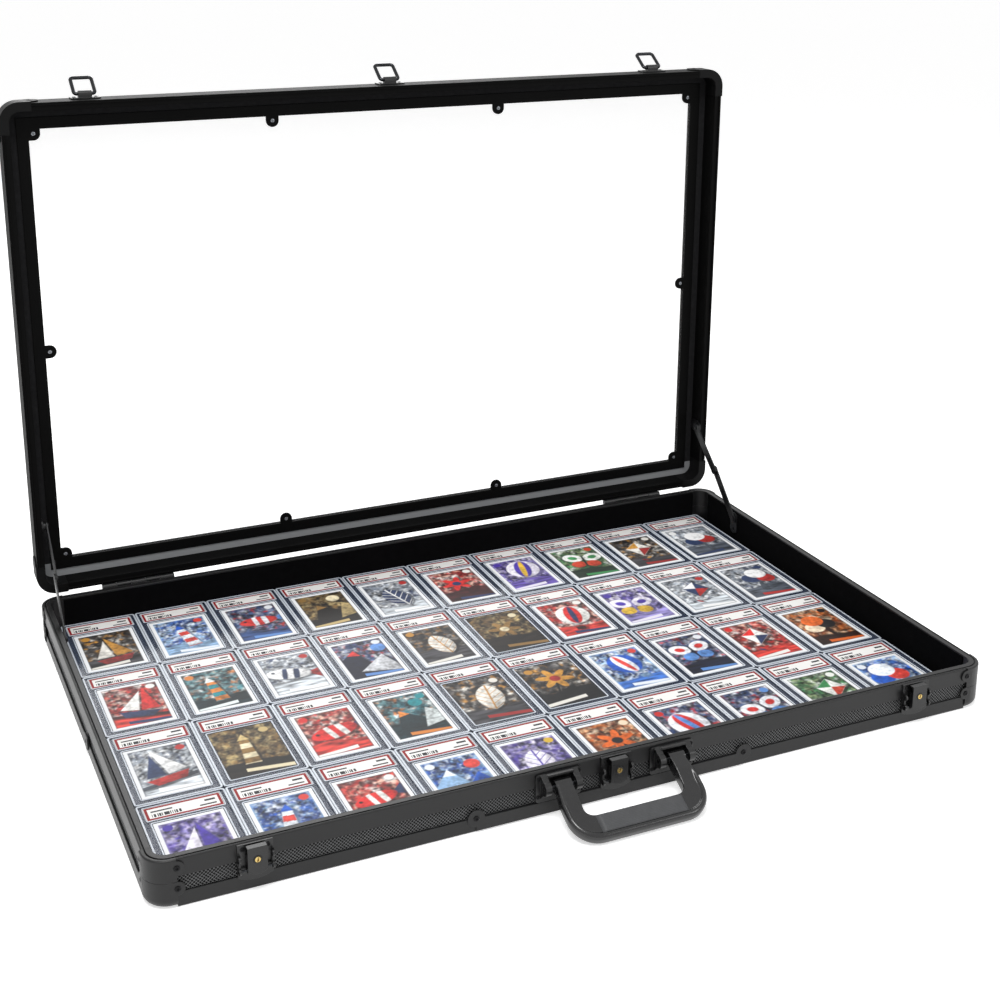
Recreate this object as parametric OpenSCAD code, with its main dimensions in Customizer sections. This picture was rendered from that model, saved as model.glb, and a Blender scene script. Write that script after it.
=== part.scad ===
// Lockable display case for trading cards in hard holders.
// A black aluminium frame carries a shallow base tray and a lid with a clear window.
// The case is drawn with its lid standing open. The origin is the middle of the base's
// underside, X is the width, the front faces -Y and Z is up. All sizes are millimetres.

/* [Case] */
// Width over the frame rails
case_w = 864; // [620:1:1100]
// Depth over the frame rails
case_d = 546; // [420:1:760]
// Height of the base tray
base_h = 46; // [43:0.5:58]
// Height of the lid frame
lid_h = 29; // [25:0.5:45]
// Gap between the two frames when the case is shut
parting_gap = 1; // [0.6:0.1:1.6]

/* [Frame rails] */
// Thickness of a frame wall
wall = 8.5; // [8:0.1:11]
// Thickness of the legs of the extrusions
skin = 1.8; // [1.2:0.1:2]
// Thickness of the textured side panels
panel_t = 4.8; // [3.5:0.1:5]
// Height of the upper rail of the base
upper_rail_h = 17; // [14:0.5:19]
// Height of the lower rail of the base
lower_rail_h = 14; // [12:0.5:16]
// Depth to which the side panels sit in the upper rail
upper_slot = 11; // [6:0.5:12]
// Depth to which the side panels sit in the lower rail
lower_slot = 8; // [4:0.5:8]
// Width of the groove in the rim
rim_groove_w = 1.6; // [1.3:0.1:2.2]
// Depth of the groove in the rim
rim_groove_d = 2; // [1.5:0.1:2.6]
// Width of the tongue under the lid rim
tongue_w = 0.8; // [0.6:0.1:1]
// Depth to which the shut tongue reaches into the groove
tongue_in = 0.6; // [0.4:0.1:1]
// Radius of the outer rail edges
rail_edge_r = 1.5; // [0.5:0.1:1.8]

/* [Corner pieces] */
// Outer radius of the frame corners in plan
corner_r = 20; // [16:0.5:23]
// Length of a base corner piece along each side
base_leg = 24; // [23:0.5:32]
// Length of a lid corner piece along each side
lid_leg = 32; // [31:0.5:40]
// Height by which the corner pieces stand proud of the rails
proud = 1.5; // [0.6:0.1:2.5]
// Radius of the round ends of the base corner pieces
lobe_r = 6.5; // [5:0.1:7]
// Radius of the round ends of the lid corner pieces
lid_lobe_r = 9; // [6:0.5:11]
// Height of the seam between upper and lower corner pieces
seam_z = 25; // [24:0.5:28]
// Rounding under the lower corner pieces and over the lid corners
ball_r = 8; // [5:0.5:8]
// Distance of the ends of the moulded front strip from the middle
skirt_x = 140; // [130:1:200]
// Thickness of the moulded front strip
skirt_t = 1.2; // [0.8:0.1:1.4]
// Radius of the round ends of that strip and of the side bosses
skirt_lobe_r = 8.5; // [7:0.5:9]

/* [Floor and lining] */
// Thickness of the bottom panel
floor_t = 5; // [4:0.5:6]
// Thickness of the tongue around the bottom panel
floor_tongue_t = 2.2; // [1.6:0.1:2.4]
// Reach of that tongue into the lower rails
floor_tongue_w = 3; // [1.5:0.1:3.2]
// Thickness of the felt on the floor
felt_t = 1.5; // [1:0.1:3]
// Thickness of the lining on the walls
lining_t = 1; // [0.6:0.1:1.2]

/* [Lid window] */
// Width of the lid frame around its window
flange_w = 30; // [28:0.5:40]
// Thickness of the flange of the lid rails
flange_t = 2; // [1.5:0.1:3]
// Thickness of the clear window
window_t = 3; // [2:0.5:5]
// Width of the foam strip beside the lid wall
foam_w = 8.8; // [5:0.1:9]
// Thickness of the foam strip
foam_t = 1; // [0.6:0.1:2]
// Thickness of the retainer that holds the window
retainer_t = 2; // [1.2:0.1:3]
// Radius of the screw lugs of the retainer
lug_r = 7.2; // [5:0.1:9]
// Reach of those lugs past the window edge
lug_reach = 12; // [10:0.1:16]
// Distance of the front and back lugs from the middle
lug_x = 138; // [100:1:200]

/* [Latches] */
// Distance of the outer latches' middle from the case's side
latch_in = 90; // [82:1:190]
// Width of a latch plate
plate_w = 31; // [30.5:0.5:36]
// Height of a latch plate
plate_h = 35; // [33:0.5:36]
// Thickness of a latch plate
plate_t = 2; // [1.5:0.1:2.1]
// Drop of the rim of the latch plate below the base rim
plate_drop = 1; // [0.6:0.1:2]
// Width of the lever cover
cover_w = 17; // [14:0.5:17.2]
// Height of the lever cover
cover_h = 25.5; // [25:0.1:27]
// Thickness of the lever cover
cover_t = 1.8; // [1.2:0.1:2.4]
// Height of the lever's pivot above the cover's lower end
lever_pivot_up = 3; // [2.8:0.1:4]
// Radius of the lever's pivot pin
lever_pin_r = 1.2; // [0.8:0.1:1.4]
// Radius of the key plug
key_r = 3.75; // [3:0.05:4]
// Depth of the key plug's centre below the cover's top
key_down = 11.5; // [11:0.1:12]

/* [Rings] */
// Width of a ring over its legs
ring_w = 26; // [25.8:0.1:26.4]
// Thickness of the ring's wire
ring_wire = 4; // [3:0.1:4]
// Thickness of the ring's closing bar
ring_bar = 4.6; // [4:0.1:4.8]
// Reach of the ring from its pivot to its far end
ring_reach = 27; // [25:0.1:27.2]
// Distance of the ring's pivot from the lid face
ring_n = 5; // [4.8:0.1:5.6]
// Height of the ring's pivot above the lid rim
ring_up = 18; // [16:0.1:18.5]
// Width of the knuckle that holds the ring
knuckle_w = 14; // [8:0.5:16]
// Angle by which the resting ring leans back from square to the lid's front
ring_lean = 55; // [40:1:60]

/* [Handle] */
// Width of a handle bracket
bracket_w = 46; // [42:0.5:50]
// Height of a handle bracket
bracket_h = 28; // [24:0.5:30]
// Distance of the handle's pivot from the case front
handle_n = 8.5; // [8.3:0.1:12]
// Depth of the handle's pivot below the base rim
handle_down = 14; // [13:0.5:16]
// Width over the handle
handle_w = 140; // [134:1:180]
// Reach of the handle from its pivot
handle_reach = 63; // [58:0.5:90]
// Thickness of the handle
handle_t = 12; // [10:0.5:12.4]
// Depth of the grip
grip_d = 25; // [20:0.5:30]
// Width of a handle arm at its pivot
arm_w = 16; // [12:0.5:17]
// Distance of a handle arm's middle from the handle's side at its pivot
arm_in = 11; // [10:0.5:13]
// Outer corner radius of the handle
handle_r = 27; // [20:0.5:32]
// Radius of the edges of the handle
handle_edge_r = 4.5; // [2:0.1:4.8]
// Radius of the handle pins
handle_pin_r = 2.25; // [1.5:0.05:3]
// Clearance between the resting grip and the table
grip_clear = 0.5; // [0.3:0.1:3]

/* [Hinges] */
// Distance of the hinges' middle from the case's side
hinge_in = 110; // [92:1:230]
// Width of a hinge
hinge_w = 82; // [50:1:100]
// Distance of the hinge axis behind the base
hinge_out = 3; // [2.9:0.1:3.2]
// Radius of the hinge barrel
barrel_r = 2.8; // [2.2:0.1:2.8]
// Radius of the hinge pin
hinge_pin_r = 1.5; // [1:0.1:1.8]
// Thickness of the hinge leaves
leaf_t = 1.5; // [1:0.1:2]

/* [Lid stays] */
// Distance of the lower stay pivot from the back of the base
stay_base_y = 88.5; // [84:0.5:100]
// Depth of the lower stay pivot below the base rim
stay_base_down = 11; // [9:0.5:14]
// Distance of the upper stay pivot from the hinge axis
stay_lid_s = 82.5; // [80:0.5:96]
// Height of the upper stay pivot above the hinge axis
stay_lid_t = 4; // [2:0.5:8]
// Length of the lower stay arm between its pivots
stay_lower = 69.5; // [64:0.5:76]
// Distance by which the elbow passes the straight line
stay_bow = 3; // [1:0.5:5]
// Width of the stay arms
stay_w = 10; // [8:0.5:11]
// Thickness of the stay arms
stay_t = 1.5; // [1:0.1:1.6]

/* [Card holders] */
// Width of a card holder
holder_w = 82.5; // [76:0.5:84]
// Length of a card holder
holder_l = 131; // [120:0.5:136]
// Thickness of a card holder
holder_t = 6.35; // [5:0.05:9]
// Gap between holders across the case
holder_gap_x = 0.4; // [0.3:0.1:2]
// Gap between holders along the case
holder_gap_y = 0.8; // [0.5:0.1:2]
// Width of a card
card_w = 63.5; // [58:0.5:66]
// Length of a card
card_l = 88.9; // [80:0.1:92]
// Width of a label
label_w = 70; // [60:0.5:72]
// Length of a label
label_l = 21; // [14:0.5:24]

/* [Hidden] */
$fn = 48;
// Clearances
slot_fit = 0.1;
run_fit = 0.05;
body_gap = 0.3;
seat_gap = 0.3;
past = 1;
sink = 0.5;
weld = 0.001;
// Case
half_w = case_w / 2;
half_d = case_d / 2;
latch_x = half_w - latch_in;
hinge_x = half_w - hinge_in;
bracket_x = handle_w / 2 - arm_in;
slot_w = panel_t + 2 * slot_fit;
inner_leg = wall - skin - slot_w;
rail_z = base_h - upper_rail_h;
leg_more = 5;
lobe_drop = 2;
upper_leg_h = upper_rail_h + leg_more;
front_run = case_w - 2 * base_leg;
side_run = case_d - 2 * base_leg;
lid_front_run = case_w - 2 * lid_leg;
lid_side_run = case_d - 2 * lid_leg;
SIDES = [[0, half_d, front_run], [180, half_d, front_run], [90, half_w, side_run], [-90, half_w, side_run]];
floor_groove_z = (lower_rail_h - lower_slot - floor_tongue_t) / 2 - slot_fit;
floor_top = floor_t + felt_t;
lining_drop = 2;
lining_h = base_h - floor_top - lining_drop;
// Lid
lid_z = base_h + parting_gap;
lid_top = lid_z + lid_h;
lid_open = 90;
hinge_y = half_d + hinge_out;
hinge_z = base_h + parting_gap / 2;
window_z = lid_top - flange_t - window_t;
window_w = case_w - 2 * flange_w;
window_d = case_d - 2 * flange_w;
retainer_in = wall + body_gap + foam_w + slot_fit;
lug_in = lug_reach - lug_r;
// Latches and rings
cover_drop = 0.5;
cover_top = base_h - plate_drop - cover_drop;
cover_n = ring_n + ring_wire / 2 + body_gap;
cover_out = cover_n + cover_t;
cover_z = cover_top - cover_h;
lip_t = 1.5;
lip_in = 1.4;
lever_pivot_z = cover_z + lever_pivot_up;
lever_barrel_r = 2.6;
barrel_gap = 0.4;
lever_pivot_n = plate_t + lever_barrel_r + barrel_gap;
lever_web = 2.4;
plug_in = 1.5;
plug_wall = 0.9;
plug_n = lever_pivot_n - plug_in;
keyway = [1.2, 3, 4.8];
key_z = cover_top - key_down;
key_proud = 0.5;
cheek_t = 2;
cheek_end_r = 3;
plate_sag = 4;
cover_sag = 3;
plate_z = base_h - plate_drop - plate_h;
leg_x = (ring_w - ring_wire) / 2;
ring_plate_t = 1.6;
ring_plate_h = 14;
knuckle_r = ring_n - ring_plate_t;
ring_y = -half_d - ring_n;
ring_z = lid_z + ring_up;
// Handle
handle_z = base_h - handle_down;
drop_arm = handle_reach - handle_edge_r;
drop_side = handle_t / 2 - handle_edge_r;
drop_z = handle_z - handle_edge_r - grip_clear;
droop = asin(drop_z / norm([drop_arm, drop_side])) - atan2(drop_side, drop_arm);
cheek_in = 12.5;
cheek_w = 6;
cheek_r = 6.5;
handle_barrel_r = 6.2;
bracket_t = 2;
bracket_drop = 3;
bracket_top = base_h - bracket_drop;
bracket_r = 3;
hood = [4, 2];
shoulder = 14;
elbow_drop = 8;
gap_r = 6;
pad_play = 0.3;
pad_crown_r = 40;
pad_proud = 1.2;
dish_rim = 5;
dish_d = 2.5;
loop_x = bracket_x - arm_w / 2 - gap_r;
// Hinges
knuckle_gap = 0.4;
knuckle_count = 5;
leaf_gap = 0.3;
leaf_h = 26;
leaf_drop = 5;
// Stays, each pivot as a point in the YZ plane
eye_more = 0.5;
foot_w = 14;
foot_drop = 12;
foot_up = 1;
lid_foot = [3.5, 12];
rivet_step = 18;
stay_p0 = [half_d - stay_base_y, base_h - stay_base_down];
stay_p1 = [hinge_y + stay_lid_t, hinge_z + stay_lid_s];
stay_line = (stay_p1 - stay_p0) / norm(stay_p1 - stay_p0);
stay_along = sqrt(stay_lower * stay_lower - stay_bow * stay_bow);
stay_elbow = stay_p0 + stay_along * stay_line + stay_bow * [-stay_line[1], stay_line[0]];
stay_plate_t = 1.5;
stay_pin_r = 2;
stay_head_r = 3.2;
stay_head_t = 0.8;
stay_x0 = half_w - wall - lining_t - stay_plate_t;
stay_x1 = stay_x0 - body_gap - stay_t;
stay_x2 = stay_x1 - body_gap - stay_t;
stay_x3 = stay_x2 - body_gap - stay_head_t;
// Card holders
holder_play = 1;
wall_play = 0.2;
holder_room_x = 2 * (stay_x3 - holder_play);
holder_room_y = case_d - 2 * (wall + lining_t + wall_play);
pitch_x = holder_w + holder_gap_x;
pitch_y = holder_l + holder_gap_y;
cols = floor((holder_room_x - holder_w) / pitch_x) + 1;
rows = floor((holder_room_y - holder_l) / pitch_y) + 1;
holder_r = 3;
holder_border = 3;
field_d = 0.8;
insert_t = 0.8;
insert_fit = 0.25;
label_in = 2;
card_up = 7;
holder_z = floor_top + seat_gap;
field_z = holder_z + holder_t - field_d;
label_y = holder_l / 2 - holder_border - label_in - label_l / 2;
card_y = -holder_l / 2 + holder_border + card_up + card_l / 2;

frame_black = "#3c3d3f";
mould_black = "#323335";
bright = "#c9ccd0";

// Plan outline with round corners
module round_rect(w, d, r) {
  square([w - 2 * r, d], center = true);
  square([w, d - 2 * r], center = true);
  for (sx = [-1, 1])
    for (sy = [-1, 1])
      translate([sx * (w / 2 - r), sy * (d / 2 - r)])
        circle(r);
}

// What is cut from a square corner at the origin to round it
module edge_cut(r) {
  difference() {
    translate([-past, -past])
      square(r + past);
    translate([r, r])
      circle(r);
  }
}

// Moves a shape drawn at the front to the side that is turned there
module on_side(turn, half) {
  rotate([0, 0, turn])
    translate([0, -half, 0])
      children();
}

// Extrudes a section along X: section X points inward and section Y points up
module rail_run(length) {
  rotate([90, 0, 90])
    translate([0, 0, -length / 2])
      linear_extrude(length)
        children();
}

// Extrudes a section across X on the case front: section X points out of the case
module front_profile(width) {
  mirror([0, 1, 0])
    rail_run(width)
      children();
}

// Extrudes an outline in the XZ plane out of the case front
module face_plate(thickness) {
  rotate([90, 0, 0])
    linear_extrude(thickness)
      children();
}

// Round bar along X about a point n out of the front and z up
module cross_bar(r, width, n, z) {
  translate([-width / 2, -n, z])
    rotate([0, 90, 0])
      cylinder(r = r, h = width);
}

// Upright outline with a bowed lower edge
module bowed_outline(w, h, sag) {
  bow_r = (w * w / 4 + sag * sag) / (2 * sag);
  translate([-w / 2, sag])
    square([w, h - sag]);
  intersection() {
    translate([-w / 2, 0])
      square([w, sag + sink]);
    translate([0, bow_r])
      circle(bow_r, $fn = 96);
  }
}

module lid_pose() {
  translate([0, hinge_y, hinge_z])
    rotate([-lid_open, 0, 0])
      translate([0, -hinge_y, -hinge_z])
        children();
}

module at_latches() {
  for (x = [-latch_x, 0, latch_x])
    translate([x, -half_d, 0])
      children();
}

// Upper rail: outer skin, slot for the panel, rim with its groove, longer inner leg
module upper_rail_section() {
  difference() {
    union() {
      translate([0, rail_z])
        square([wall, upper_rail_h]);
      translate([wall - inner_leg, base_h - upper_leg_h])
        square([inner_leg, upper_leg_h]);
    }
    translate([skin, rail_z - past])
      square([slot_w, upper_slot + past]);
    translate([skin, base_h - rim_groove_d])
      square([rim_groove_w, rim_groove_d + past]);
    translate([0, base_h])
      mirror([0, 1])
        edge_cut(rail_edge_r);
  }
}

// Lower rail: slot for the side panel and a groove for the tongue of the bottom panel
module lower_rail_section() {
  difference() {
    square([wall, lower_rail_h]);
    translate([skin, lower_rail_h - lower_slot])
      square([slot_w, lower_slot + past]);
    translate([wall - floor_tongue_w - slot_fit, floor_groove_z])
      square([floor_tongue_w + slot_fit + past, floor_tongue_t + 2 * slot_fit]);
    edge_cut(rail_edge_r);
  }
}

module side_panel_section() {
  translate([skin + slot_fit, lower_rail_h - lower_slot + slot_fit])
    square([panel_t, rail_z + upper_slot - lower_rail_h + lower_slot - 2 * slot_fit]);
}

module upper_rail(turn, half, length) {
  color(frame_black)
    on_side(turn, half)
      rail_run(length)
        upper_rail_section();
}

module lower_rail(turn, half, length) {
  color(frame_black)
    on_side(turn, half)
      rail_run(length)
        lower_rail_section();
}

module side_panel(turn, half, length) {
  color("#4a4b4c")
    on_side(turn, half)
      rail_run(length)
        side_panel_section();
}

// Places one corner, drawn about the centre of its radius, at all four corners
module at_corners() {
  for (sx = [0, 1])
    for (sy = [0, 1])
      mirror([sx, 0, 0])
        mirror([0, sy, 0])
          translate([half_w - corner_r, half_d - corner_r, 0])
            children();
}

// Sweeps a wall section round the corner and along both legs
module corner_sweep(leg) {
  reach = leg - corner_r;
  rotate_extrude(angle = 90)
    corner_profile()
      children();
  translate([0, weld, 0])
    rotate([90, 0, 0])
      linear_extrude(reach + weld)
        corner_profile()
          children();
  translate([-reach, 0, 0])
    rotate([90, 0, 90])
      linear_extrude(reach + weld)
        corner_profile()
          children();
}

module corner_profile() {
  translate([corner_r, 0])
    mirror([1, 0])
      children();
}

// Round screw ends of a corner piece on both outer faces
module corner_lobes(leg, r, z) {
  translate([corner_r, corner_r - leg, z])
    rotate([0, 90, 0])
      cylinder(r = r, h = proud);
  translate([corner_r - leg, corner_r, z])
    rotate([-90, 0, 0])
      cylinder(r = r, h = proud);
}

module upper_corner_section() {
  difference() {
    translate([-proud, seam_z])
      square([wall + proud, base_h - seam_z]);
    translate([skin, base_h - rim_groove_d])
      square([rim_groove_w, rim_groove_d + past]);
    translate([-proud, base_h])
      mirror([0, 1])
        edge_cut(rail_edge_r);
  }
}

module lower_corner_section() {
  difference() {
    translate([-proud, 0])
      square([wall + proud, seam_z - body_gap]);
    translate([-proud, 0])
      edge_cut(ball_r);
  }
}

module upper_corners() {
  color(mould_black)
    at_corners() {
      corner_sweep(base_leg)
        upper_corner_section();
      corner_lobes(base_leg, lobe_r, base_h - lobe_r - lobe_drop);
    }
}

module lower_corners() {
  color(mould_black)
    at_corners() {
      corner_sweep(base_leg)
        lower_corner_section();
      corner_lobes(base_leg, lobe_r, seam_z - lobe_r - body_gap);
    }
}

// Moulded strip along the middle of the lower front rail, notched for what is fixed over it
module front_skirt() {
  color(mould_black)
    translate([0, -half_d, 0])
      face_plate(skirt_t)
        difference() {
          union() {
            translate([-skirt_x, rail_edge_r])
              square([2 * skirt_x, lower_rail_h - rail_edge_r]);
            for (s = [-1, 1])
              translate([s * skirt_x, lower_rail_h])
                circle(skirt_lobe_r);
          }
          translate([0, plate_z - body_gap])
            bowed_outline(plate_w + 2 * body_gap, plate_h, plate_sag);
          for (s = [-1, 1])
            translate([s * bracket_x, bracket_top - bracket_h / 2])
              square([bracket_w, bracket_h] + 2 * [body_gap, body_gap], center = true);
        }
}

// Screw bosses in the middle of the two sides
module side_bosses() {
  color(mould_black)
    for (turn = [-90, 90])
      on_side(turn, half_w)
        translate([0, 0, lower_rail_h])
          face_plate(proud)
            circle(skirt_lobe_r);
}

module floor_outline(inset) {
  round_rect(case_w - 2 * (wall + inset), case_d - 2 * (wall + inset), corner_r - wall - inset);
}

module bottom_panel() {
  color("#2b2c2e") {
    linear_extrude(floor_t)
      floor_outline(slot_fit);
    for (side = SIDES)
      on_side(side[0], side[1])
        rail_run(side[2])
          translate([wall - floor_tongue_w, floor_groove_z + slot_fit])
            square([floor_tongue_w + past, floor_tongue_t]);
  }
}

module floor_felt() {
  color("#151516")
    translate([0, 0, floor_t])
      linear_extrude(felt_t)
        floor_outline(slot_fit);
}

module wall_lining() {
  color("#151516")
    for (side = SIDES)
      on_side(side[0], side[1])
        rail_run(side[2])
          translate([wall, floor_top])
            square([lining_t, lining_h]);
}

// Lid rail: hollow wall, tongue under the rim, flange around the window
module lid_rail_section() {
  difference() {
    union() {
      translate([0, lid_z])
        square([wall, lid_h]);
      translate([0, lid_top - flange_t])
        square([flange_w, flange_t]);
      translate([skin + (rim_groove_w - tongue_w) / 2, base_h - tongue_in])
        square([tongue_w, parting_gap + tongue_in + past]);
    }
    translate([skin, lid_z + skin])
      square([wall - 2 * skin, lid_h - flange_t - 2 * skin]);
    translate([0, lid_top])
      mirror([0, 1])
        edge_cut(rail_edge_r);
  }
}

module lid_rail(turn, half, length) {
  color(frame_black)
    lid_pose()
      on_side(turn, half)
        rail_run(length)
          lid_rail_section();
}

module lid_corner_section() {
  difference() {
    translate([-proud, lid_z])
      square([wall + proud, lid_h]);
    translate([-proud, lid_top])
      mirror([0, 1])
        edge_cut(ball_r);
  }
}

// Corner of the flange, between the ends of two lid rails
module lid_corner_flange() {
  translate([0, 0, lid_top - flange_t])
    linear_extrude(flange_t)
      difference() {
        translate([corner_r - lid_leg, corner_r - lid_leg])
          square(lid_leg - wall + sink);
        translate([corner_r - lid_leg - past, corner_r - lid_leg - past])
          square(lid_leg - flange_w + past);
      }
}

module lid_corners() {
  color(mould_black)
    lid_pose()
      at_corners() {
        corner_sweep(lid_leg)
          lid_corner_section();
        lid_corner_flange();
        corner_lobes(lid_leg, lid_lobe_r, lid_z + lid_h / 2);
      }
}

module lid_window() {
  color("#dfe6ea", 0.25)
    lid_pose()
      translate([0, 0, window_z])
        linear_extrude(window_t)
          floor_outline(body_gap);
}

module lid_foam() {
  foam_in = wall + body_gap + foam_w;
  color("#8f9193")
    lid_pose()
      translate([0, 0, window_z - foam_t])
        linear_extrude(foam_t)
          difference() {
            floor_outline(body_gap);
            square([case_w - 2 * foam_in, case_d - 2 * foam_in], center = true);
          }
}

// Half round screw lug that reaches from the window edge toward the middle
module lug(x, y) {
  edge = lug_in + 2 * past;
  side_on = abs(x) > window_w / 2 - lug_reach;
  end_on = abs(y) > window_d / 2 - lug_reach;
  cx = side_on ? sign(x) * (window_w / 2 - lug_in) : x;
  cy = end_on ? sign(y) * (window_d / 2 - lug_in) : y;
  translate([cx, cy]) {
    circle(lug_r);
    if (side_on)
      translate([x > 0 ? 0 : -edge, -lug_r])
        square([edge, 2 * lug_r]);
    if (end_on)
      translate([-lug_r, y > 0 ? 0 : -edge])
        square([2 * lug_r, edge]);
  }
}

module lid_retainer() {
  color("#2a2b2d")
    lid_pose()
      translate([0, 0, window_z - retainer_t])
        linear_extrude(retainer_t) {
          difference() {
            square([case_w - 2 * retainer_in, case_d - 2 * retainer_in], center = true);
            square([window_w, window_d], center = true);
          }
          for (sx = [-1, 1]) {
            lug(sx * window_w / 2, 0);
            for (sy = [-1, 1]) {
              lug(sx * window_w / 2, sy * window_d / 2);
              lug(sx * lug_x, sy * window_d / 2);
            }
          }
        }
}

module latch_plates() {
  cheek_x = plate_w / 2 - cheek_t / 2;
  color("#38393b")
    at_latches()
      difference() {
        union() {
          face_plate(plate_t)
            translate([0, plate_z])
              bowed_outline(plate_w, plate_h, plate_sag);
          for (s = [-1, 1])
            translate([s * cheek_x, 0, 0])
              front_profile(cheek_t) {
                translate([plate_t - sink, lever_pivot_z - cheek_end_r])
                  square([lever_pivot_n - plate_t + sink, key_z - lever_pivot_z + 2 * cheek_end_r]);
                for (z = [lever_pivot_z, key_z])
                  translate([lever_pivot_n, z])
                    circle(cheek_end_r);
              }
        }
        cross_bar(lever_pin_r + run_fit, plate_w + 2 * past, lever_pivot_n, lever_pivot_z);
      }
}

module latch_pins() {
  color(bright)
    at_latches()
      cross_bar(lever_pin_r, plate_w, lever_pivot_n, lever_pivot_z);
}

// Lever: bowed cover with a lip over the ring's bar, side webs, barrel and plug housing
module lever(x) {
  color("#3a3b3d")
    translate([x, -half_d, 0])
      difference() {
        union() {
          translate([0, -cover_n, 0])
            face_plate(cover_t)
              translate([0, cover_z])
                bowed_outline(cover_w, cover_h, cover_sag);
          front_profile(cover_w) {
            translate([ring_n - lip_in, cover_top - lip_t])
              square([cover_out - ring_n + lip_in, lip_t]);
            translate([lever_pivot_n, lever_pivot_z])
              circle(lever_barrel_r);
            translate([lever_pivot_n, lever_pivot_z - lever_web / 2])
              square([cover_n - lever_pivot_n + sink, lever_web + lever_barrel_r]);
          }
          for (s = [-1, 1])
            translate([s * (cover_w - lip_t) / 2, 0, 0])
              front_profile(lip_t)
                translate([plug_n, lever_pivot_z])
                  square([cover_n - plug_n + sink, key_z + key_r - lever_pivot_z]);
          translate([0, -plug_n, key_z])
            rotate([90, 0, 0])
              cylinder(r = key_r + plug_wall, h = cover_n - plug_n + sink);
        }
        translate([0, 0, key_z])
          rotate([90, 0, 0])
            cylinder(r = key_r + run_fit, h = cover_out + past);
        cross_bar(lever_pin_r + run_fit, cover_w + 2 * past, lever_pivot_n, lever_pivot_z);
      }
}

// Key plug with its keyway
module key_plug(x) {
  color("#c9a85a")
    translate([x, -half_d - plug_n, key_z])
      difference() {
        rotate([90, 0, 0])
          cylinder(r = key_r, h = cover_out + key_proud - plug_n);
        translate([-keyway[0] / 2, -cover_out - key_proud + plug_n - past, -keyway[2] / 2])
          cube(keyway + [0, past, 0]);
      }
}

module ring_brackets() {
  color("#38393b")
    lid_pose()
      at_latches()
        translate([0, 0, ring_z])
          difference() {
            union() {
              face_plate(ring_plate_t)
                square([plate_w, ring_plate_h], center = true);
              front_profile(knuckle_w) {
                translate([1, -knuckle_r])
                  square([ring_n - 1, 2 * knuckle_r]);
                translate([ring_n, 0])
                  circle(knuckle_r);
              }
            }
            cross_bar(ring_wire / 2 + run_fit, knuckle_w + 2 * past, ring_n, 0);
          }
}

// Closed wire loop with a thicker far bar
module ring(x) {
  far = -ring_reach + ring_bar / 2;
  color(bright)
    lid_pose()
      translate([x, ring_y, ring_z])
        rotate([-ring_lean, 0, 0]) {
          cross_bar(ring_wire / 2, 2 * leg_x, 0, 0);
          translate([0, far, 0])
            cross_bar(ring_bar / 2, 2 * leg_x, 0, 0);
          for (s = [-1, 1])
            translate([s * leg_x, 0, 0]) {
              sphere(ring_wire / 2);
              rotate([90, 0, 0])
                cylinder(r = ring_wire / 2, h = -far);
              translate([0, far, 0])
                sphere(ring_bar / 2);
            }
        }
}

// Bracket: back plate, two wedge cheeks for the pin and a short hood over the arm
module handle_brackets() {
  color("#2f3032")
    for (s = [-1, 1])
      translate([s * bracket_x, -half_d, 0])
        difference() {
          union() {
            face_plate(bracket_t)
              translate([0, bracket_top - bracket_h / 2])
                round_rect(bracket_w, bracket_h, bracket_r);
            translate([0, 0, bracket_top - hood[1]])
              front_profile(2 * (cheek_in + sink))
                translate([bracket_t - sink, 0])
                  square(hood + [sink, 0]);
            for (c = [-1, 1])
              translate([c * (cheek_in + cheek_w / 2), 0, 0])
                front_profile(cheek_w) {
                  polygon([[bracket_t - sink, bracket_top], [handle_n, handle_z + cheek_r],
                           [handle_n, handle_z - cheek_r],
                           [bracket_t - sink, bracket_top - bracket_h + bracket_r]]);
                  translate([handle_n, handle_z])
                    circle(cheek_r);
                }
          }
          cross_bar(handle_pin_r + run_fit, bracket_w, handle_n, handle_z);
        }
}

module handle_pins() {
  color(bright)
    for (s = [-1, 1])
      translate([s * bracket_x, -half_d, 0])
        cross_bar(handle_pin_r, 2 * (cheek_in + cheek_w), handle_n, handle_z);
}

// Puts a handle piece, drawn flat about its pivot axis, in its resting slope
module handle_pose() {
  translate([0, -half_d - handle_n, handle_z])
    rotate([droop, 0, 0])
      children();
}

// Outer outline of the handle, drawn in toward its middle by the inset
module handle_outline(inset) {
  w = handle_w - 2 * inset;
  r = handle_r - inset;
  low = -shoulder - elbow_drop;
  translate([-w / 2 + r, -handle_reach + inset])
    square([w - 2 * r, handle_reach - shoulder - inset]);
  translate([-w / 2, -handle_reach + inset + r])
    square([w, handle_reach - shoulder - inset - r]);
  for (s = [-1, 1])
    translate([s * (w / 2 - r), -handle_reach + inset + r])
      circle(r, $fn = 96);
  for (s = [-1, 1])
    polygon([[s * (bracket_x - arm_w / 2), 0], [s * (bracket_x + arm_w / 2 - min(inset, 1)), 0],
             [s * w / 2, low], [s * (loop_x - gap_r), low], [s * (bracket_x - arm_w / 2), -shoulder]]);
}

// Space between the arms, drawn down to the grip
module handle_gap() {
  inner = -handle_reach + grip_d;
  r = gap_r;
  far = bracket_x - arm_w / 2;
  polygon([[-far, past], [far, past], [loop_x + r, inner + r], [loop_x, inner + r], [loop_x - r, inner],
           [-loop_x + r, inner], [-loop_x, inner + r], [-loop_x - r, inner + r]]);
  for (s = [-1, 1])
    translate([s * (loop_x - r), inner + r])
      circle(r);
}

// Profile that rounds the outer edges of the handle when it is cut away
module bullnose_cut() {
  r = handle_edge_r;
  side = handle_t / 2 - r;
  difference() {
    translate([-past, -handle_t / 2 - past])
      square([r + past, handle_t + 2 * past]);
    translate([0, -side])
      square([r + past, 2 * side]);
    for (s = [-1, 1])
      translate([r, s * side])
        circle(r);
  }
}

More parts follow.
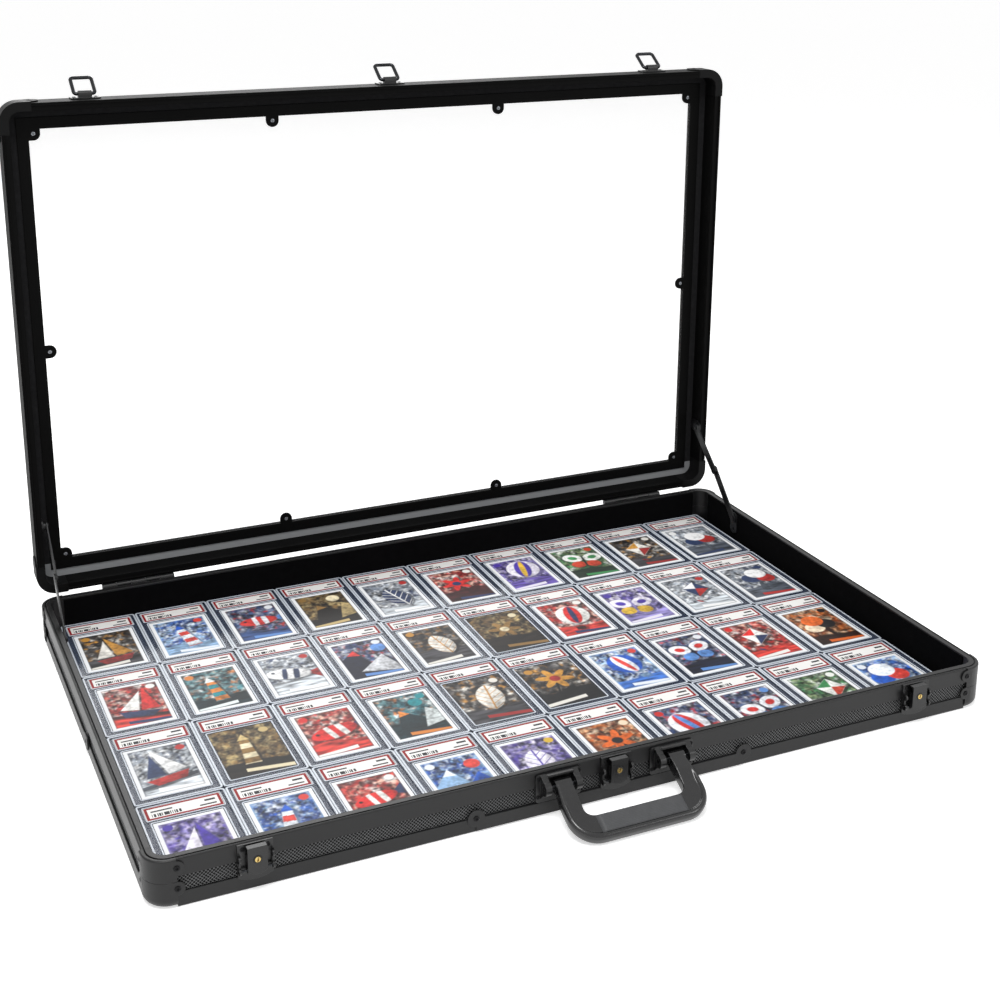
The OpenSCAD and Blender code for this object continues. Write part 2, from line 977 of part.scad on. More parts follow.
module handle_body() {
  corner = handle_w / 2 - handle_r;
  low = -handle_reach + handle_r;
  color("#3f4042")
    handle_pose()
      difference() {
        union() {
          difference() {
            translate([0, 0, -handle_t / 2])
              linear_extrude(handle_t)
                difference() {
                  handle_outline(0);
                  handle_gap();
                }
            translate([0, 0, handle_t / 2 - dish_d])
              linear_extrude(dish_d + past)
                handle_outline(dish_rim);
            for (s = [0, 1])
              mirror([s, 0, 0]) {
                translate([corner, low, 0])
                  rotate([0, 0, -90])
                    rotate_extrude(angle = 90, $fn = 96)
                      translate([handle_r, 0])
                        mirror([1, 0])
                          bullnose_cut();
                translate([handle_w / 2, low, 0])
                  rotate([90, 0, 180])
                    linear_extrude(handle_reach)
                      bullnose_cut();
              }
            translate([-corner, -handle_reach, 0])
              rotate([90, 0, 90])
                linear_extrude(2 * corner)
                  bullnose_cut();
          }
          for (s = [-1, 1])
            translate([s * bracket_x, 0, 0])
              cross_bar(handle_barrel_r, arm_w, 0, 0);
        }
        cross_bar(handle_pin_r + run_fit, handle_w, 0, 0);
      }
}

// Soft pad with a low crown, seated in the dish of the grip
module handle_grip() {
  pad_x = loop_x - past;
  pad_d = grip_d - dish_rim - 5 * pad_play;
  base = handle_t / 2 - dish_d;
  color("#6b6d70")
    handle_pose()
      translate([0, -handle_reach + dish_rim + pad_play, base])
        rail_run(2 * pad_x)
          intersection() {
            square([pad_d, dish_d + pad_proud + past]);
            translate([pad_d / 2, dish_d + pad_proud - pad_crown_r])
              circle(pad_crown_r, $fn = 180);
          }
}

// Hinge knuckles number first, first + 2 and so on of five, with their web
module knuckles(first, web_up) {
  seg = (hinge_w - knuckle_gap * (knuckle_count - 1)) / knuckle_count;
  for (i = [first:2:knuckle_count - 1])
    translate([-hinge_w / 2 + i * (seg + knuckle_gap) + seg / 2, 0, 0])
      rail_run(seg) {
        translate([hinge_out, hinge_z])
          circle(barrel_r);
        translate([0, web_up ? hinge_z : hinge_z - hinge_out - leaf_gap])
          square([hinge_out, hinge_out + leaf_gap]);
      }
}

module hinge_leaf(first, plate_low, plate_high, web_up) {
  for (s = [-1, 1])
    translate([s * hinge_x, half_d, 0])
      difference() {
        union() {
          knuckles(first, web_up);
          rail_run(hinge_w)
            translate([0, plate_low])
              square([leaf_t, plate_high - plate_low]);
        }
        translate([0, 2 * hinge_out, 0])
          cross_bar(hinge_pin_r + run_fit, hinge_w + 2 * past, hinge_out, hinge_z);
      }
}

module hinge_base_leaves() {
  color("#2e2f31")
    hinge_leaf(0, hinge_z - hinge_out - leaf_h, hinge_z - hinge_out - leaf_gap, false);
}

module hinge_lid_leaves() {
  color("#2e2f31")
    lid_pose()
      hinge_leaf(1, hinge_z + hinge_out + leaf_gap, lid_top - leaf_drop, true);
}

module hinge_pins() {
  color(bright)
    for (s = [-1, 1])
      translate([s * hinge_x, half_d + 2 * hinge_out, 0])
        cross_bar(hinge_pin_r, hinge_w, hinge_out, hinge_z);
}

// Flat bar between two points of the YZ plane, with a wider round eye at each
module bar_outline(p, q, w) {
  span = q - p;
  translate(p)
    rotate(atan2(span[1], span[0]))
      translate([0, -w / 2])
        square([norm(span), w]);
  for (c = [p, q])
    translate(c)
      circle(w / 2 + eye_more);
}

// Extrudes an outline in the YZ plane from one X to another
module stay_plate(x_from, x_to) {
  translate([x_from, 0, 0])
    rotate([90, 0, 90])
      linear_extrude(x_to - x_from)
        children();
}

module stay_rod(p, r, x_from, x_to) {
  translate([x_from, p[0], p[1]])
    rotate([0, 90, 0])
      cylinder(r = r, h = x_to - x_from);
}

module stay_base_brackets() {
  color("#55575a")
    for (m = [0, 1])
      mirror([m, 0, 0]) {
        stay_plate(stay_x0, stay_x0 + stay_plate_t)
          bar_outline(stay_p0 - [0, foot_drop], stay_p0 + [0, foot_up], foot_w);
        stay_rod(stay_p0, stay_pin_r, stay_x2 + stay_t - stay_head_t, stay_x0 + stay_plate_t);
        stay_rod(stay_p0, stay_head_r, stay_x2 + stay_t - stay_head_t, stay_x2 + stay_t);
      }
}

module stay_lid_brackets() {
  wall_x = half_w - wall;
  p = [hinge_y - stay_lid_s, hinge_z + stay_lid_t];
  color("#55575a")
    lid_pose()
      for (m = [0, 1])
        mirror([m, 0, 0]) {
          stay_plate(wall_x - stay_plate_t, wall_x)
            bar_outline(p + [0, lid_foot[0]], p + [0, lid_foot[1]], foot_w);
          stay_rod(p, stay_head_r + 1, stay_x1, wall_x - stay_plate_t + sink);
          stay_rod(p, stay_pin_r, stay_x3, stay_x1 + sink);
          stay_rod(p, stay_head_r, stay_x3, stay_x3 + stay_head_t);
        }
}

module stay_lower_arm(m) {
  color(bright)
    mirror([m, 0, 0])
      difference() {
        stay_plate(stay_x1, stay_x1 + stay_t)
          bar_outline(stay_p0, stay_elbow, stay_w);
        stay_rod(stay_p0, stay_pin_r + run_fit, stay_x1 - past, stay_x1 + stay_t + past);
      }
}

module stay_upper_arm(m) {
  upper = norm(stay_p1 - stay_elbow);
  along = (stay_p1 - stay_elbow) / upper;
  color(bright)
    mirror([m, 0, 0]) {
      difference() {
        stay_plate(stay_x2, stay_x2 + stay_t)
          bar_outline(stay_elbow, stay_p1, stay_w);
        stay_rod(stay_p1, stay_pin_r + run_fit, stay_x2 - past, stay_x2 + stay_t + past);
      }
      for (p = [stay_elbow, stay_elbow + rivet_step * along])
        stay_rod(p, stay_head_r, stay_x2 - stay_head_t, stay_x2 + sink);
    }
}

// Places one holder's piece at every place of the grid
module at_holders() {
  for (i = [0:cols - 1])
    for (j = [0:rows - 1])
      translate([(i - (cols - 1) / 2) * pitch_x, (j - (rows - 1) / 2) * pitch_y, 0])
        children();
}

// Clear holder with a raised border and seats for its label and card
module holder_shells() {
  color("#cfd8e0", 0.45)
    at_holders()
      difference() {
        translate([0, 0, holder_z])
          linear_extrude(holder_t)
            round_rect(holder_w, holder_l, holder_r);
        translate([-holder_w / 2 + holder_border, -holder_l / 2 + holder_border, field_z])
          cube([holder_w - 2 * holder_border, holder_l - 2 * holder_border, field_d + past]);
        translate([-label_w / 2 - insert_fit, label_y - label_l / 2 - insert_fit, field_z - insert_t])
          cube([label_w + 2 * insert_fit, label_l + 2 * insert_fit, insert_t + past]);
        translate([-card_w / 2 - insert_fit, card_y - card_l / 2 - insert_fit, field_z - insert_t])
          cube([card_w + 2 * insert_fit, card_l + 2 * insert_fit, insert_t + past]);
      }
}

module holder_labels() {
  color("#f2efe9")
    at_holders()
      translate([-label_w / 2, label_y - label_l / 2, field_z - insert_t])
        cube([label_w, label_l, insert_t]);
}

module holder_cards() {
  color("#8a6a4a")
    at_holders()
      translate([-card_w / 2, card_y - card_l / 2, field_z - insert_t])
        cube([card_w, card_l, insert_t]);
}

upper_rail(0, half_d, front_run);  // upper_rail_front
upper_rail(180, half_d, front_run);  // upper_rail_back
upper_rail(-90, half_w, side_run);  // upper_rail_left
upper_rail(90, half_w, side_run);  // upper_rail_right
side_panel(0, half_d, front_run);  // side_panel_front
side_panel(180, half_d, front_run);  // side_panel_back
side_panel(-90, half_w, side_run);  // side_panel_left
side_panel(90, half_w, side_run);  // side_panel_right
lower_rail(0, half_d, front_run);  // lower_rail_front
lower_rail(180, half_d, front_run);  // lower_rail_back
lower_rail(-90, half_w, side_run);  // lower_rail_left
lower_rail(90, half_w, side_run);  // lower_rail_right
upper_corners();
lower_corners();
front_skirt();
side_bosses();
bottom_panel();
floor_felt();
wall_lining();
latch_plates();
latch_pins();
handle_brackets();
handle_pins();
hinge_base_leaves();
hinge_pins();
stay_base_brackets();
lid_rail(0, half_d, lid_front_run);  // lid_rail_front
lid_rail(180, half_d, lid_front_run);  // lid_rail_back
lid_rail(-90, half_w, lid_side_run);  // lid_rail_left
lid_rail(90, half_w, lid_side_run);  // lid_rail_right
lid_corners();
lid_window();
lid_foam();
lid_retainer();
ring_brackets();
hinge_lid_leaves();
stay_lid_brackets();
stay_lower_arm(1);  // stay_lower_left
stay_lower_arm(0);  // stay_lower_right
stay_upper_arm(1);  // stay_upper_left
stay_upper_arm(0);  // stay_upper_right
ring(-latch_x);  // ring_left
ring(0);  // ring_centre
ring(latch_x);  // ring_right
lever(-latch_x);  // lever_left
lever(0);  // lever_centre
lever(latch_x);  // lever_right
key_plug(-latch_x);  // key_left
key_plug(0);  // key_centre
key_plug(latch_x);  // key_right
handle_body();
handle_grip();
holder_shells();
holder_labels();
holder_cards();
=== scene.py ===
"""Looks of a lockable display case for trading cards: black aluminium, with a clear window in the lid."""
import math

import bpy
import numpy as np
from bpy.props import FloatProperty, FloatVectorProperty, IntProperty, PointerProperty
from mathutils import Matrix


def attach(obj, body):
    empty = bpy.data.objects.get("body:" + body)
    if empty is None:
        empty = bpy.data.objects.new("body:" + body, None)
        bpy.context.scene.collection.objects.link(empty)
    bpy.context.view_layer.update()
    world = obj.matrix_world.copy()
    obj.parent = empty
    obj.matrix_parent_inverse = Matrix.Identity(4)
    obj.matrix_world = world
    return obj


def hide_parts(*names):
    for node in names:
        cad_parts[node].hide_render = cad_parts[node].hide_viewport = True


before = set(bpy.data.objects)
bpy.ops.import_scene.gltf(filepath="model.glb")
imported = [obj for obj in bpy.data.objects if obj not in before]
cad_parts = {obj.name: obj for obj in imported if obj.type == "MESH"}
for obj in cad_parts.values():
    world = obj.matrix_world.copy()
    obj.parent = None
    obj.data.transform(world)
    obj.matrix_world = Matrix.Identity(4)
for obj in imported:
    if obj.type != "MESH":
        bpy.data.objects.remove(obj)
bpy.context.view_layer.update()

bl_info = {
    "name": "Card display case",
    "version": (1, 0, 0),
    "blender": (4, 5, 0),
    "location": "3D View > Sidebar > Card case",
    "description": "Finishes, fixings, card holders and pictures of a lockable display case",
    "category": "Add Mesh",
}

MM = 0.001

# Places on the case in millimetres, in the same frame as the solids: half width and depth over the rails,
# the
# hinge's depth and height, and how far corner pieces stand proud of the rails
HALF_W, HALF_D = 432.0, 273.0
HINGE = np.array([276.0, 46.5])
PROUD = 1.5
# Outermost faces of the case: screw heads there are sunk so that they stand proud by half a millimetre
END_X = HALF_W + PROUD - 0.45
LATCHES = {"left": -342.0, "centre": 0.0, "right": 342.0}
# Card holders: their count and spacing across and along, and the height of the face of card and label
GRID = (10, 4)
PITCH = (82.9, 131.8)
FIELD_Z = 12.35
# Width, length and shift from the holder's middle
CARD = (63.5, 88.9, -11.05)
LABEL = (70.0, 21.0, 50.0)
# Latch rings: width, reach, corner radius, wire radius, pivot on the shut lid and lean in degrees
RING_W, RING_RUN, RING_CORNER, RING_WIRE = 22.0, 25.0, 3.4, 2.0
RING_PIVOT = (-HALF_D - 5.0, 65.0)
RING_LEAN = 55.0
KEY_Z = 33.0
# The handle hangs at this angle in degrees below level, about this pivot
HANDLE_HANG = 26.006
HANDLE_PIVOT = (-281.5, 32.0)


def linear(code):
    """Turns an sRGB hex colour into Blender's linear red, green and blue."""
    srgb = np.array([int(code[i:i + 2], 16) for i in (1, 3, 5)]) / 255.0
    return tuple(np.where(srgb <= 0.04045, srgb / 12.92, ((srgb + 0.055) / 1.055) ** 2.4).tolist())


# Shapes

def grid_faces(rows, cols, close_rows=False, close_cols=False):
    """Faces of a grid of points: each joins a point to its next neighbours along both parameters."""
    i = np.arange(rows if close_rows else rows - 1)[:, None]
    j = np.arange(cols if close_cols else cols - 1)[None, :]
    i1, j1 = (i + 1) % rows, (j + 1) % cols
    return np.stack([i * cols + j, i * cols + j1, i1 * cols + j1, i1 * cols + j], -1).reshape(-1, 4)


def closed_rings(rows, cols, first=0):
    """Faces of a solid made of rings of points: the grid between the rings and one face over each end."""
    last = first + (rows - 1) * cols
    faces = (grid_faces(rows, cols, False, True)[:, ::-1] + first).tolist()
    return faces + [list(range(first, first + cols)), list(range(last + cols - 1, last - 1, -1))]


def several(points, faces, frames):
    """Repeats a shape: each frame is a 3 by 4 matrix that turns and moves the points, and the faces count
    on."""
    frames = np.asarray(frames, float)
    placed = np.einsum("kij,nj->kni", frames[:, :, :3], points) + frames[:, None, :, 3]
    count = len(points)
    many = [[i + k * count for i in face] for k in range(len(frames)) for face in faces]
    return placed.reshape(-1, 3), many


def facing(place, normal):
    """Frame at a place whose third axis is the normal: its first axis is level wherever it can be."""
    n = np.asarray(normal, float) / np.linalg.norm(normal)
    side = np.cross([0, 0, 1.0], n) if abs(n[2]) < 0.9 else np.array([1.0, 0, 0])
    side = side / np.linalg.norm(side)
    return np.column_stack([side, np.cross(n, side), n, np.asarray(place, float)])


def opened(points, direction=False):
    """Turns points of the shut lid a quarter turn back about the hinge: depth becomes height and height
    becomes depth."""
    p = np.asarray(points, float)
    hinge = np.zeros(2) if direction else HINGE
    return np.stack([p[..., 0], hinge[0] + p[..., 2] - hinge[1], hinge[1] - p[..., 1] + hinge[0]], -1)


def leaned(points, degrees, pivot=(0.0, 0.0)):
    """Turns points about the X axis and then moves them by the depth and height of a pivot."""
    turn = math.radians(degrees)
    x, y, z = points.T
    return np.stack([x, y * math.cos(turn) - z * math.sin(turn) + pivot[0],
                     y * math.sin(turn) + z * math.cos(turn) + pivot[1]], -1)


def rounded_path(w, l, r, steps=5):
    """Closed path of a rectangle with round corners: a quarter circle about each corner's centre in turn."""
    turn = np.linspace(0, math.pi / 2, steps)
    start = np.arange(4)[:, None] * math.pi / 2
    cx = np.array([1, -1, -1, 1])[:, None] * (w / 2 - r)
    cy = np.array([1, 1, -1, -1])[:, None] * (l / 2 - r)
    angle = start + turn
    return np.stack([(cx + r * np.cos(angle)).ravel(), (cy + r * np.sin(angle)).ravel()], -1)


def swept(path, across, up, sides=10):
    """Carries an ellipse along a closed flat path: point = path + across * cos(a) * outward + up * sin(a) *
    vertical. across and up are the half sizes of the ellipse at each path point."""
    ahead, behind = np.roll(path, -1, 0), np.roll(path, 1, 0)
    along = ahead - behind
    along /= np.linalg.norm(along, axis=1)[:, None]
    out = np.stack([along[:, 1], -along[:, 0]], -1)
    a = np.arange(sides) * 2 * math.pi / sides
    flat = path[:, None, :] + (np.broadcast_to(across,
                                               len(path))[:, None] * np.cos(a))[..., None] * out[:, None, :]
    z = np.broadcast_to(up, len(path))[:, None] * np.sin(a)
    return np.concatenate([flat, z[..., None]],
                          -1).reshape(-1, 3), grid_faces(len(path), sides, True, True)[:, ::-1]


def pan_head(radius, height, recess):
    """Screw head: height falls as a circle's arc with the radius, less a cross recess that sinks where
    either coordinate is small. Rings of 24 points run from the middle out, down the rim and in below the
    surface."""
    share = np.array([0.04, 0.2, 0.36, 0.5, 0.62, 0.8, 0.93, 1.0, 1.0, 0.6])
    turn = np.arange(24) * math.pi / 12
    x, y = radius * share[:, None] * np.cos(turn), radius * share[:, None] * np.sin(turn)
    z = height * np.sqrt(np.clip(1 - 0.72 * share ** 2, 0, 1))[:, None] + 0 * x
    narrow, wide = np.minimum(abs(x), abs(y)), np.maximum(abs(x), abs(y))
    cross = np.clip((0.17 * radius - narrow) / (0.07 * radius), 0,
                    1) * np.clip((0.6 * radius - wide) / (0.1 * radius), 0, 1)
    z = z - recess * cross
    z[-2:] = -0.25
    points = np.stack([x, y, z], -1).reshape(-1, 3)
    return points, closed_rings(len(share), 24)


def slab(w, l, z_low, z_high, nx, ny):
    """Flat slab whose top is a grid of nx by ny points: x and y run evenly over its size. A lower ring of
    points under the top's edge and one face below close it. Gives the points, the faces and the grid's own
    parameters."""
    u, v = np.meshgrid(np.linspace(0, 1, nx), np.linspace(0, 1, ny))
    top = np.stack([(u - 0.5) * w, (v - 0.5) * l, np.full_like(u, z_high)], -1).reshape(-1, 3)
    index = np.arange(nx * ny).reshape(ny, nx)
    ring = np.concatenate([index[0, :-1], index[:-1, -1], index[-1, :0:-1], index[:0:-1, 0]])
    low = top[ring].copy()
    low[:, 2] = z_low
    n = len(ring)
    k = np.arange(n)
    side = np.stack([ring[k], nx * ny + k, nx * ny + (k + 1) % n, ring[(k + 1) % n]], -1)
    faces = grid_faces(ny, nx).tolist() + side.tolist() + [list(range(nx * ny + n - 1, nx * ny - 1, -1))]
    return np.concatenate([top, low]), faces, u.ravel(), v.ravel(), ring


def piece(name, body, points, faces, material, stands_for=(), smooth=True):
    """Puts points in millimetres and their faces into a mesh that rides on a body of the case."""
    mesh = bpy.data.meshes.new(name)
    mesh.from_pydata((np.asarray(points) * MM).tolist(), [], [list(f) for f in faces])
    mesh.polygons.foreach_set("use_smooth", np.full(len(mesh.polygons), smooth))
    mesh.update()
    if smooth:
        mesh.set_sharp_from_angle(angle=math.radians(50))
    mesh.materials.append(material)
    thing = bpy.data.objects.new(name, mesh)
    bpy.context.scene.collection.objects.link(thing)
    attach(thing, body)
    if stands_for:
        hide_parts(*stands_for)
    return thing


# Materials

def put(tree, kind, inputs=None, **settings):
    """Adds one node with its own settings, and gives its inputs values or links them to sockets."""
    node = tree.nodes.new(kind)
    for key, value in settings.items():
        setattr(node, key, value)
    for key, value in (inputs or {}).items():
        if isinstance(value, bpy.types.NodeSocket):
            tree.links.new(value, node.inputs[key])
        else:
            node.inputs[key].default_value = value
    return node


def shader_of(name, colour, **values):
    """New material with one Principled shader. Its even colour and values stand on the shader's own
    sockets."""
    material = bpy.data.materials.new(name)
    material.use_nodes = True
    tree = material.node_tree
    tree.nodes.clear()
    shader = put(tree, "ShaderNodeBsdfPrincipled", {"Base Color": (*linear(colour), 1.0)})
    for key, value in values.items():
        shader.inputs[key.replace("_", " ")].default_value = value
    put(tree, "ShaderNodeOutputMaterial", {"Surface": shader.outputs[0]})
    return material, tree, shader


def maths(tree, rule, *values):
    """Result of one math node on numbers or sockets."""
    return put(tree, "ShaderNodeMath", dict(enumerate(values)), operation=rule).outputs[0]


def noise(tree, size_mm, detail):
    """Noise over the object's own coordinates, with features about size_mm across."""
    where = put(tree, "ShaderNodeTexCoord").outputs["Object"]
    return put(tree, "ShaderNodeTexNoise", {"Vector": where, "Scale": 1000 / size_mm,
                                            "Detail": detail}).outputs[0]


def mixed(tree, factor, low, high):
    """Colour between two ends, each an sRGB hex code or a socket."""
    low, high = (end if isinstance(end, bpy.types.NodeSocket) else (*linear(end), 1) for end in (low, high))
    return put(tree, "ShaderNodeMix", {0: factor, 6: low, 7: high}, data_type="RGBA").outputs[2]


def grained(name, dark, light, grain_mm, cloud_mm, bump_mm, rough, edge_mm=0.0, **values):
    """Material whose colour drifts between two near tones over cloud_mm, and whose fine grain of grain_mm
    moves the roughness and the height. Above nothing, edge_mm is the radius to which its sharp edges look
    broken."""
    material, tree, shader = shader_of(name, dark, **values)
    cloud, grain = noise(tree, cloud_mm, 3.0), noise(tree, grain_mm, 2.0)
    both = maths(tree, "MULTIPLY_ADD", cloud, grain, 0.12)
    ramp = put(tree, "ShaderNodeMapRange", {"Value": both, "From Min": 0.2, "From Max": 0.55})
    tree.links.new(mixed(tree, ramp.outputs[0], dark, light), shader.inputs["Base Color"])
    dull = put(tree, "ShaderNodeMapRange", {"Value": grain, "From Min": 0.3, "From Max": 0.7,
                                            "To Min": rough[0], "To Max": rough[1]})
    tree.links.new(dull.outputs[0], shader.inputs["Roughness"])
    relief = put(tree, "ShaderNodeBump", {"Height": grain, "Strength": 1.0, "Distance": bump_mm * MM})
    if edge_mm:
        edge = put(tree, "ShaderNodeBevel", {"Radius": edge_mm * MM}, samples=6)
        tree.links.new(edge.outputs[0], relief.inputs["Normal"])
    tree.links.new(relief.outputs[0], shader.inputs["Normal"])
    return material


def foam_strip(hinge_side):
    """Closed cell foam about 0.7 mm in its cells: grey along the hinge, below a height of the open lid in
    metres, and black along the other three sides."""
    material = grained("closed cell foam", "#1a1a1b", "#262627", 0.7, 6, 0.1, (0.8, 0.95),
                       Specular_IOR_Level=0.08)
    tree = material.node_tree
    shader = next(node for node in tree.nodes if node.type == "BSDF_PRINCIPLED")
    height = put(tree, "ShaderNodeSeparateXYZ",
                 {0: put(tree, "ShaderNodeTexCoord").outputs["Object"]}).outputs[2]
    low = maths(tree, "LESS_THAN", height, hinge_side)
    black = shader.inputs["Base Color"].links[0].from_socket
    tree.links.new(mixed(tree, low, black, "#8e9092"), shader.inputs["Base Color"])
    return material


def diamond_sheet(pitch_mm):
    """Embossed sheet of black ABS: raised ribs cross on both diagonals and leave small sunk diamonds. Rib
    height is the larger of two triangle waves, one along x + y + z and one along x + y - z, so one rule fits
    all four sides. The ribs are coloured pale grey as a painted highlight and the sunk diamonds near black
    as painted shade."""
    material, tree, shader = shader_of("embossed ABS sheet with painted highlights", "#0d0d0e", Roughness=0.5,
                                       Specular_IOR_Level=0.12)
    where = put(tree, "ShaderNodeTexCoord").outputs["Object"]
    axes = put(tree, "ShaderNodeSeparateXYZ", {0: where})
    pitch = pitch_mm * MM
    level = maths(tree, "ADD", axes.outputs[0], axes.outputs[1])
    slopes = [maths(tree, sign, level, axes.outputs[2]) for sign in ("ADD", "SUBTRACT")]
    rib = maths(tree, "MAXIMUM", *(maths(tree, "PINGPONG", slope, pitch) for slope in slopes))
    raised = put(tree, "ShaderNodeMapRange", {"Value": rib, "From Min": 0.74 * pitch,
                                              "From Max": pitch}).outputs[0]
    # Painted highlight and shade: raised ribs take a pale grey and sunk diamonds near black, though the
    # whole sheet is black ABS
    tree.links.new(mixed(tree, raised, "#050505", "#949596"), shader.inputs["Base Color"])
    relief = put(tree, "ShaderNodeBump", {"Height": raised, "Strength": 0.8, "Distance": 0.25 * MM})
    tree.links.new(relief.outputs[0], shader.inputs["Normal"])
    return material


def printed_label():
    """White paper label in two inks, drawn on its own UV map: a red line along all four edges, a row of
    uneven code bars with a rule over it at one end and two short rules at the other. It carries no
    lettering."""
    material, tree, shader = shader_of("coated label paper", "#f4f3f0", Roughness=0.5,
                                       Specular_IOR_Level=0.2)
    place = put(tree, "ShaderNodeSeparateXYZ", {0: put(tree, "ShaderNodeUVMap", uv_map="sheet").outputs[0]})
    u, v = place.outputs[0], place.outputs[1]

    def between(value, low, high):
        return maths(tree, "MULTIPLY", maths(tree, "GREATER_THAN", value, low),
                     maths(tree, "LESS_THAN", value, high))

    def box(u_low, u_high, v_low, v_high):
        return maths(tree, "MULTIPLY", between(u, u_low, u_high), between(v, v_low, v_high))

    # Distance in millimetres from the nearest edge of the label
    ends = maths(tree, "SUBTRACT", LABEL[0] / 2,
                 maths(tree, "ABSOLUTE", maths(tree, "MULTIPLY", maths(tree, "SUBTRACT", u, 0.5), LABEL[0])))
    sides = maths(tree, "SUBTRACT", LABEL[1] / 2,
                  maths(tree, "ABSOLUTE", maths(tree, "MULTIPLY", maths(tree, "SUBTRACT", v, 0.5),
                                                LABEL[1])))
    red = between(maths(tree, "MINIMUM", ends, sides), 0.4, 2.9)
    # Code bars: uneven widths come from noise sampled along the label only
    run = put(tree, "ShaderNodeCombineXYZ", {0: u}).outputs[0]
    noise = put(tree, "ShaderNodeTexNoise", {"Vector": run, "Scale": 46.0, "Detail": 0.0}).outputs[0]
    code = maths(tree, "MULTIPLY", maths(tree, "GREATER_THAN", noise, 0.47), box(0.08, 0.46, 0.2, 0.44))
    rules = maths(tree, "MAXIMUM", box(0.08, 0.36, 0.58, 0.68),
                  maths(tree, "MAXIMUM", box(0.78, 0.92, 0.56, 0.7), box(0.7, 0.92, 0.26, 0.36)))
    tone = "#f4f3f0"
    for ink, mask in (("#8e0610", red), ("#232428", maths(tree, "MAXIMUM", code, rules))):
        tone = mixed(tree, mask, tone, ink)
    tree.links.new(tone, shader.inputs["Base Color"])
    return material


def printed_card():
    """Offset printed card: the ink is the mesh's own colour attribute, under a thin gloss varnish."""
    material, tree, shader = shader_of("varnished printed card", "#ffffff", Roughness=0.4,
                                       Specular_IOR_Level=0.15)
    ink = put(tree, "ShaderNodeAttribute", attribute_name="ink")
    tree.links.new(ink.outputs["Color"], shader.inputs["Base Color"])
    # Paper fibre, about 0.4 mm, shows only as an uneven gloss
    fibre = noise(tree, 0.4, 2.0)
    gloss = put(tree, "ShaderNodeMapRange", {"Value": fibre, "To Min": 0.34, "To Max": 0.48}).outputs[0]
    tree.links.new(gloss, shader.inputs["Roughness"])
    return material


def clear_plastic(name, colour, alpha, rough, wave_mm):
    """Clear moulded sheet: alpha lets the ground show, and faint wide waves of the moulding move its
    gloss."""
    material, tree, shader = shader_of(name, colour, Alpha=alpha, IOR=1.49)
    haze = noise(tree, wave_mm, 4.0)
    dull = put(tree, "ShaderNodeMapRange", {"Value": haze, "To Min": rough[0],
                                            "To Max": rough[1]}).outputs[0]
    tree.links.new(dull, shader.inputs["Roughness"])
    return material


def seen_rays(tree):
    """One for the rays that show the ground to the camera: straight, mirrored or through a clear sheet."""
    path = put(tree, "ShaderNodeLightPath").outputs
    straight_or_mirrored = maths(tree, "MAXIMUM", path["Is Camera Ray"], path["Is Glossy Ray"])
    return maths(tree, "MAXIMUM", straight_or_mirrored, path["Is Transmission Ray"])


def dress(material, *nodes):
    """Gives CAD nodes a material through their own slots."""
    for node in nodes:
        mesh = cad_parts[node].data
        mesh.materials.clear()
        mesh.materials.append(material)


# Pictures

# Grounds and accents of the printed pictures, by the general tone of the card
TONES = {
    "B": (("#1f3f86", "#3a68b4", "#8fb3d8", "#16244a", "#c9d6e4"), ("#2557b8", "#e8eef5", "#d8443c")),
    "N": (("#141c38", "#28406e", "#0d1226", "#46608c", "#8a93a8"), ("#e7e9ee", "#c8322f", "#5f8ed0")),
    "R": (("#8e1f22", "#c63a32", "#3a1214", "#e8b7a4", "#5a2a28"), ("#f2f0ec", "#d42a28", "#27365e")),
    "K": (("#17171a", "#3b3a3e", "#0b0b0d", "#66615e", "#2a2422"), ("#e6e2da", "#c08a3c", "#9a2b2a")),
    "G": (("#24492f", "#3f7048", "#16261b", "#93a57a", "#5b6e4d"), ("#eef0ea", "#3c8c52", "#c8452f")),
    "W": (("#7f8690", "#c6ccd2", "#4c525c", "#9fa7b2", "#e3e6ea"), ("#2c3a5c", "#f4f4f4", "#b5322e")),
    "P": (("#3a2a6c", "#5b4a9c", "#8f86bf", "#1f1840", "#b4a9cf"), ("#e9e4f2", "#4a37a0", "#d8b13c")),
    "O": (("#6b2c14", "#c26a2a", "#26120a", "#8c5a3a", "#e0b48a"), ("#f0dcc0", "#d8662a", "#1d1a1c")),
    "D": (("#2a1f18", "#4c3a28", "#15100c", "#6e5a3c", "#8a7a5a"), ("#c8b07a", "#8a6a3a", "#e3d6b4")),
    "T": (("#1d4a56", "#2f7a86", "#12262c", "#7fb0b4", "#4a6a70"), ("#e8f0f0", "#d8823a", "#1f8a92")),
}
# One letter for each card, front row first; a capital F after it leaves the white margin out
LAYOUT = (
    ("P", "B", "R", "B", "P", "O", "N", "N", "G", "B"),
    ("W", "DF", "R", "T", "KF", "KF", "B", "N", "R", "O"),
    ("R", "T", "W", "N", "K", "DF", "R", "P", "W", "W"),
    ("K", "B", "N", "D", "W", "R", "P", "G", "K", "W"),
)


def soft(distance, width=0.012):
    """Cover of a shape by its signed distance: one inside, nothing outside, and a short ramp between."""
    return np.clip(0.5 - distance / (2 * width), 0, 1)


def ellipse(x, y, cx, cy, rx, ry, turn=0.0):
    """Ellipse: (turned point / half sizes) has length one on its edge."""
    c, s = math.cos(turn), math.sin(turn)
    px, py = c * (x - cx) + s * (y - cy), c * (y - cy) - s * (x - cx)
    return soft((np.sqrt((px / rx) ** 2 + (py / ry) ** 2) - 1) * min(rx, ry))


def wedge(x, y, *corners):
    """Convex polygon with its corners counter-clockwise: the largest distance past any of its edges."""
    far = np.full_like(x, -9.0)
    for (ax, ay), (bx, by) in zip(corners, corners[1:] + corners[:1]):
        ex, ey = bx - ax, by - ay
        far = np.maximum(far, (ey * (x - ax) - ex * (y - ay)) / math.hypot(ex, ey))
    return soft(far)


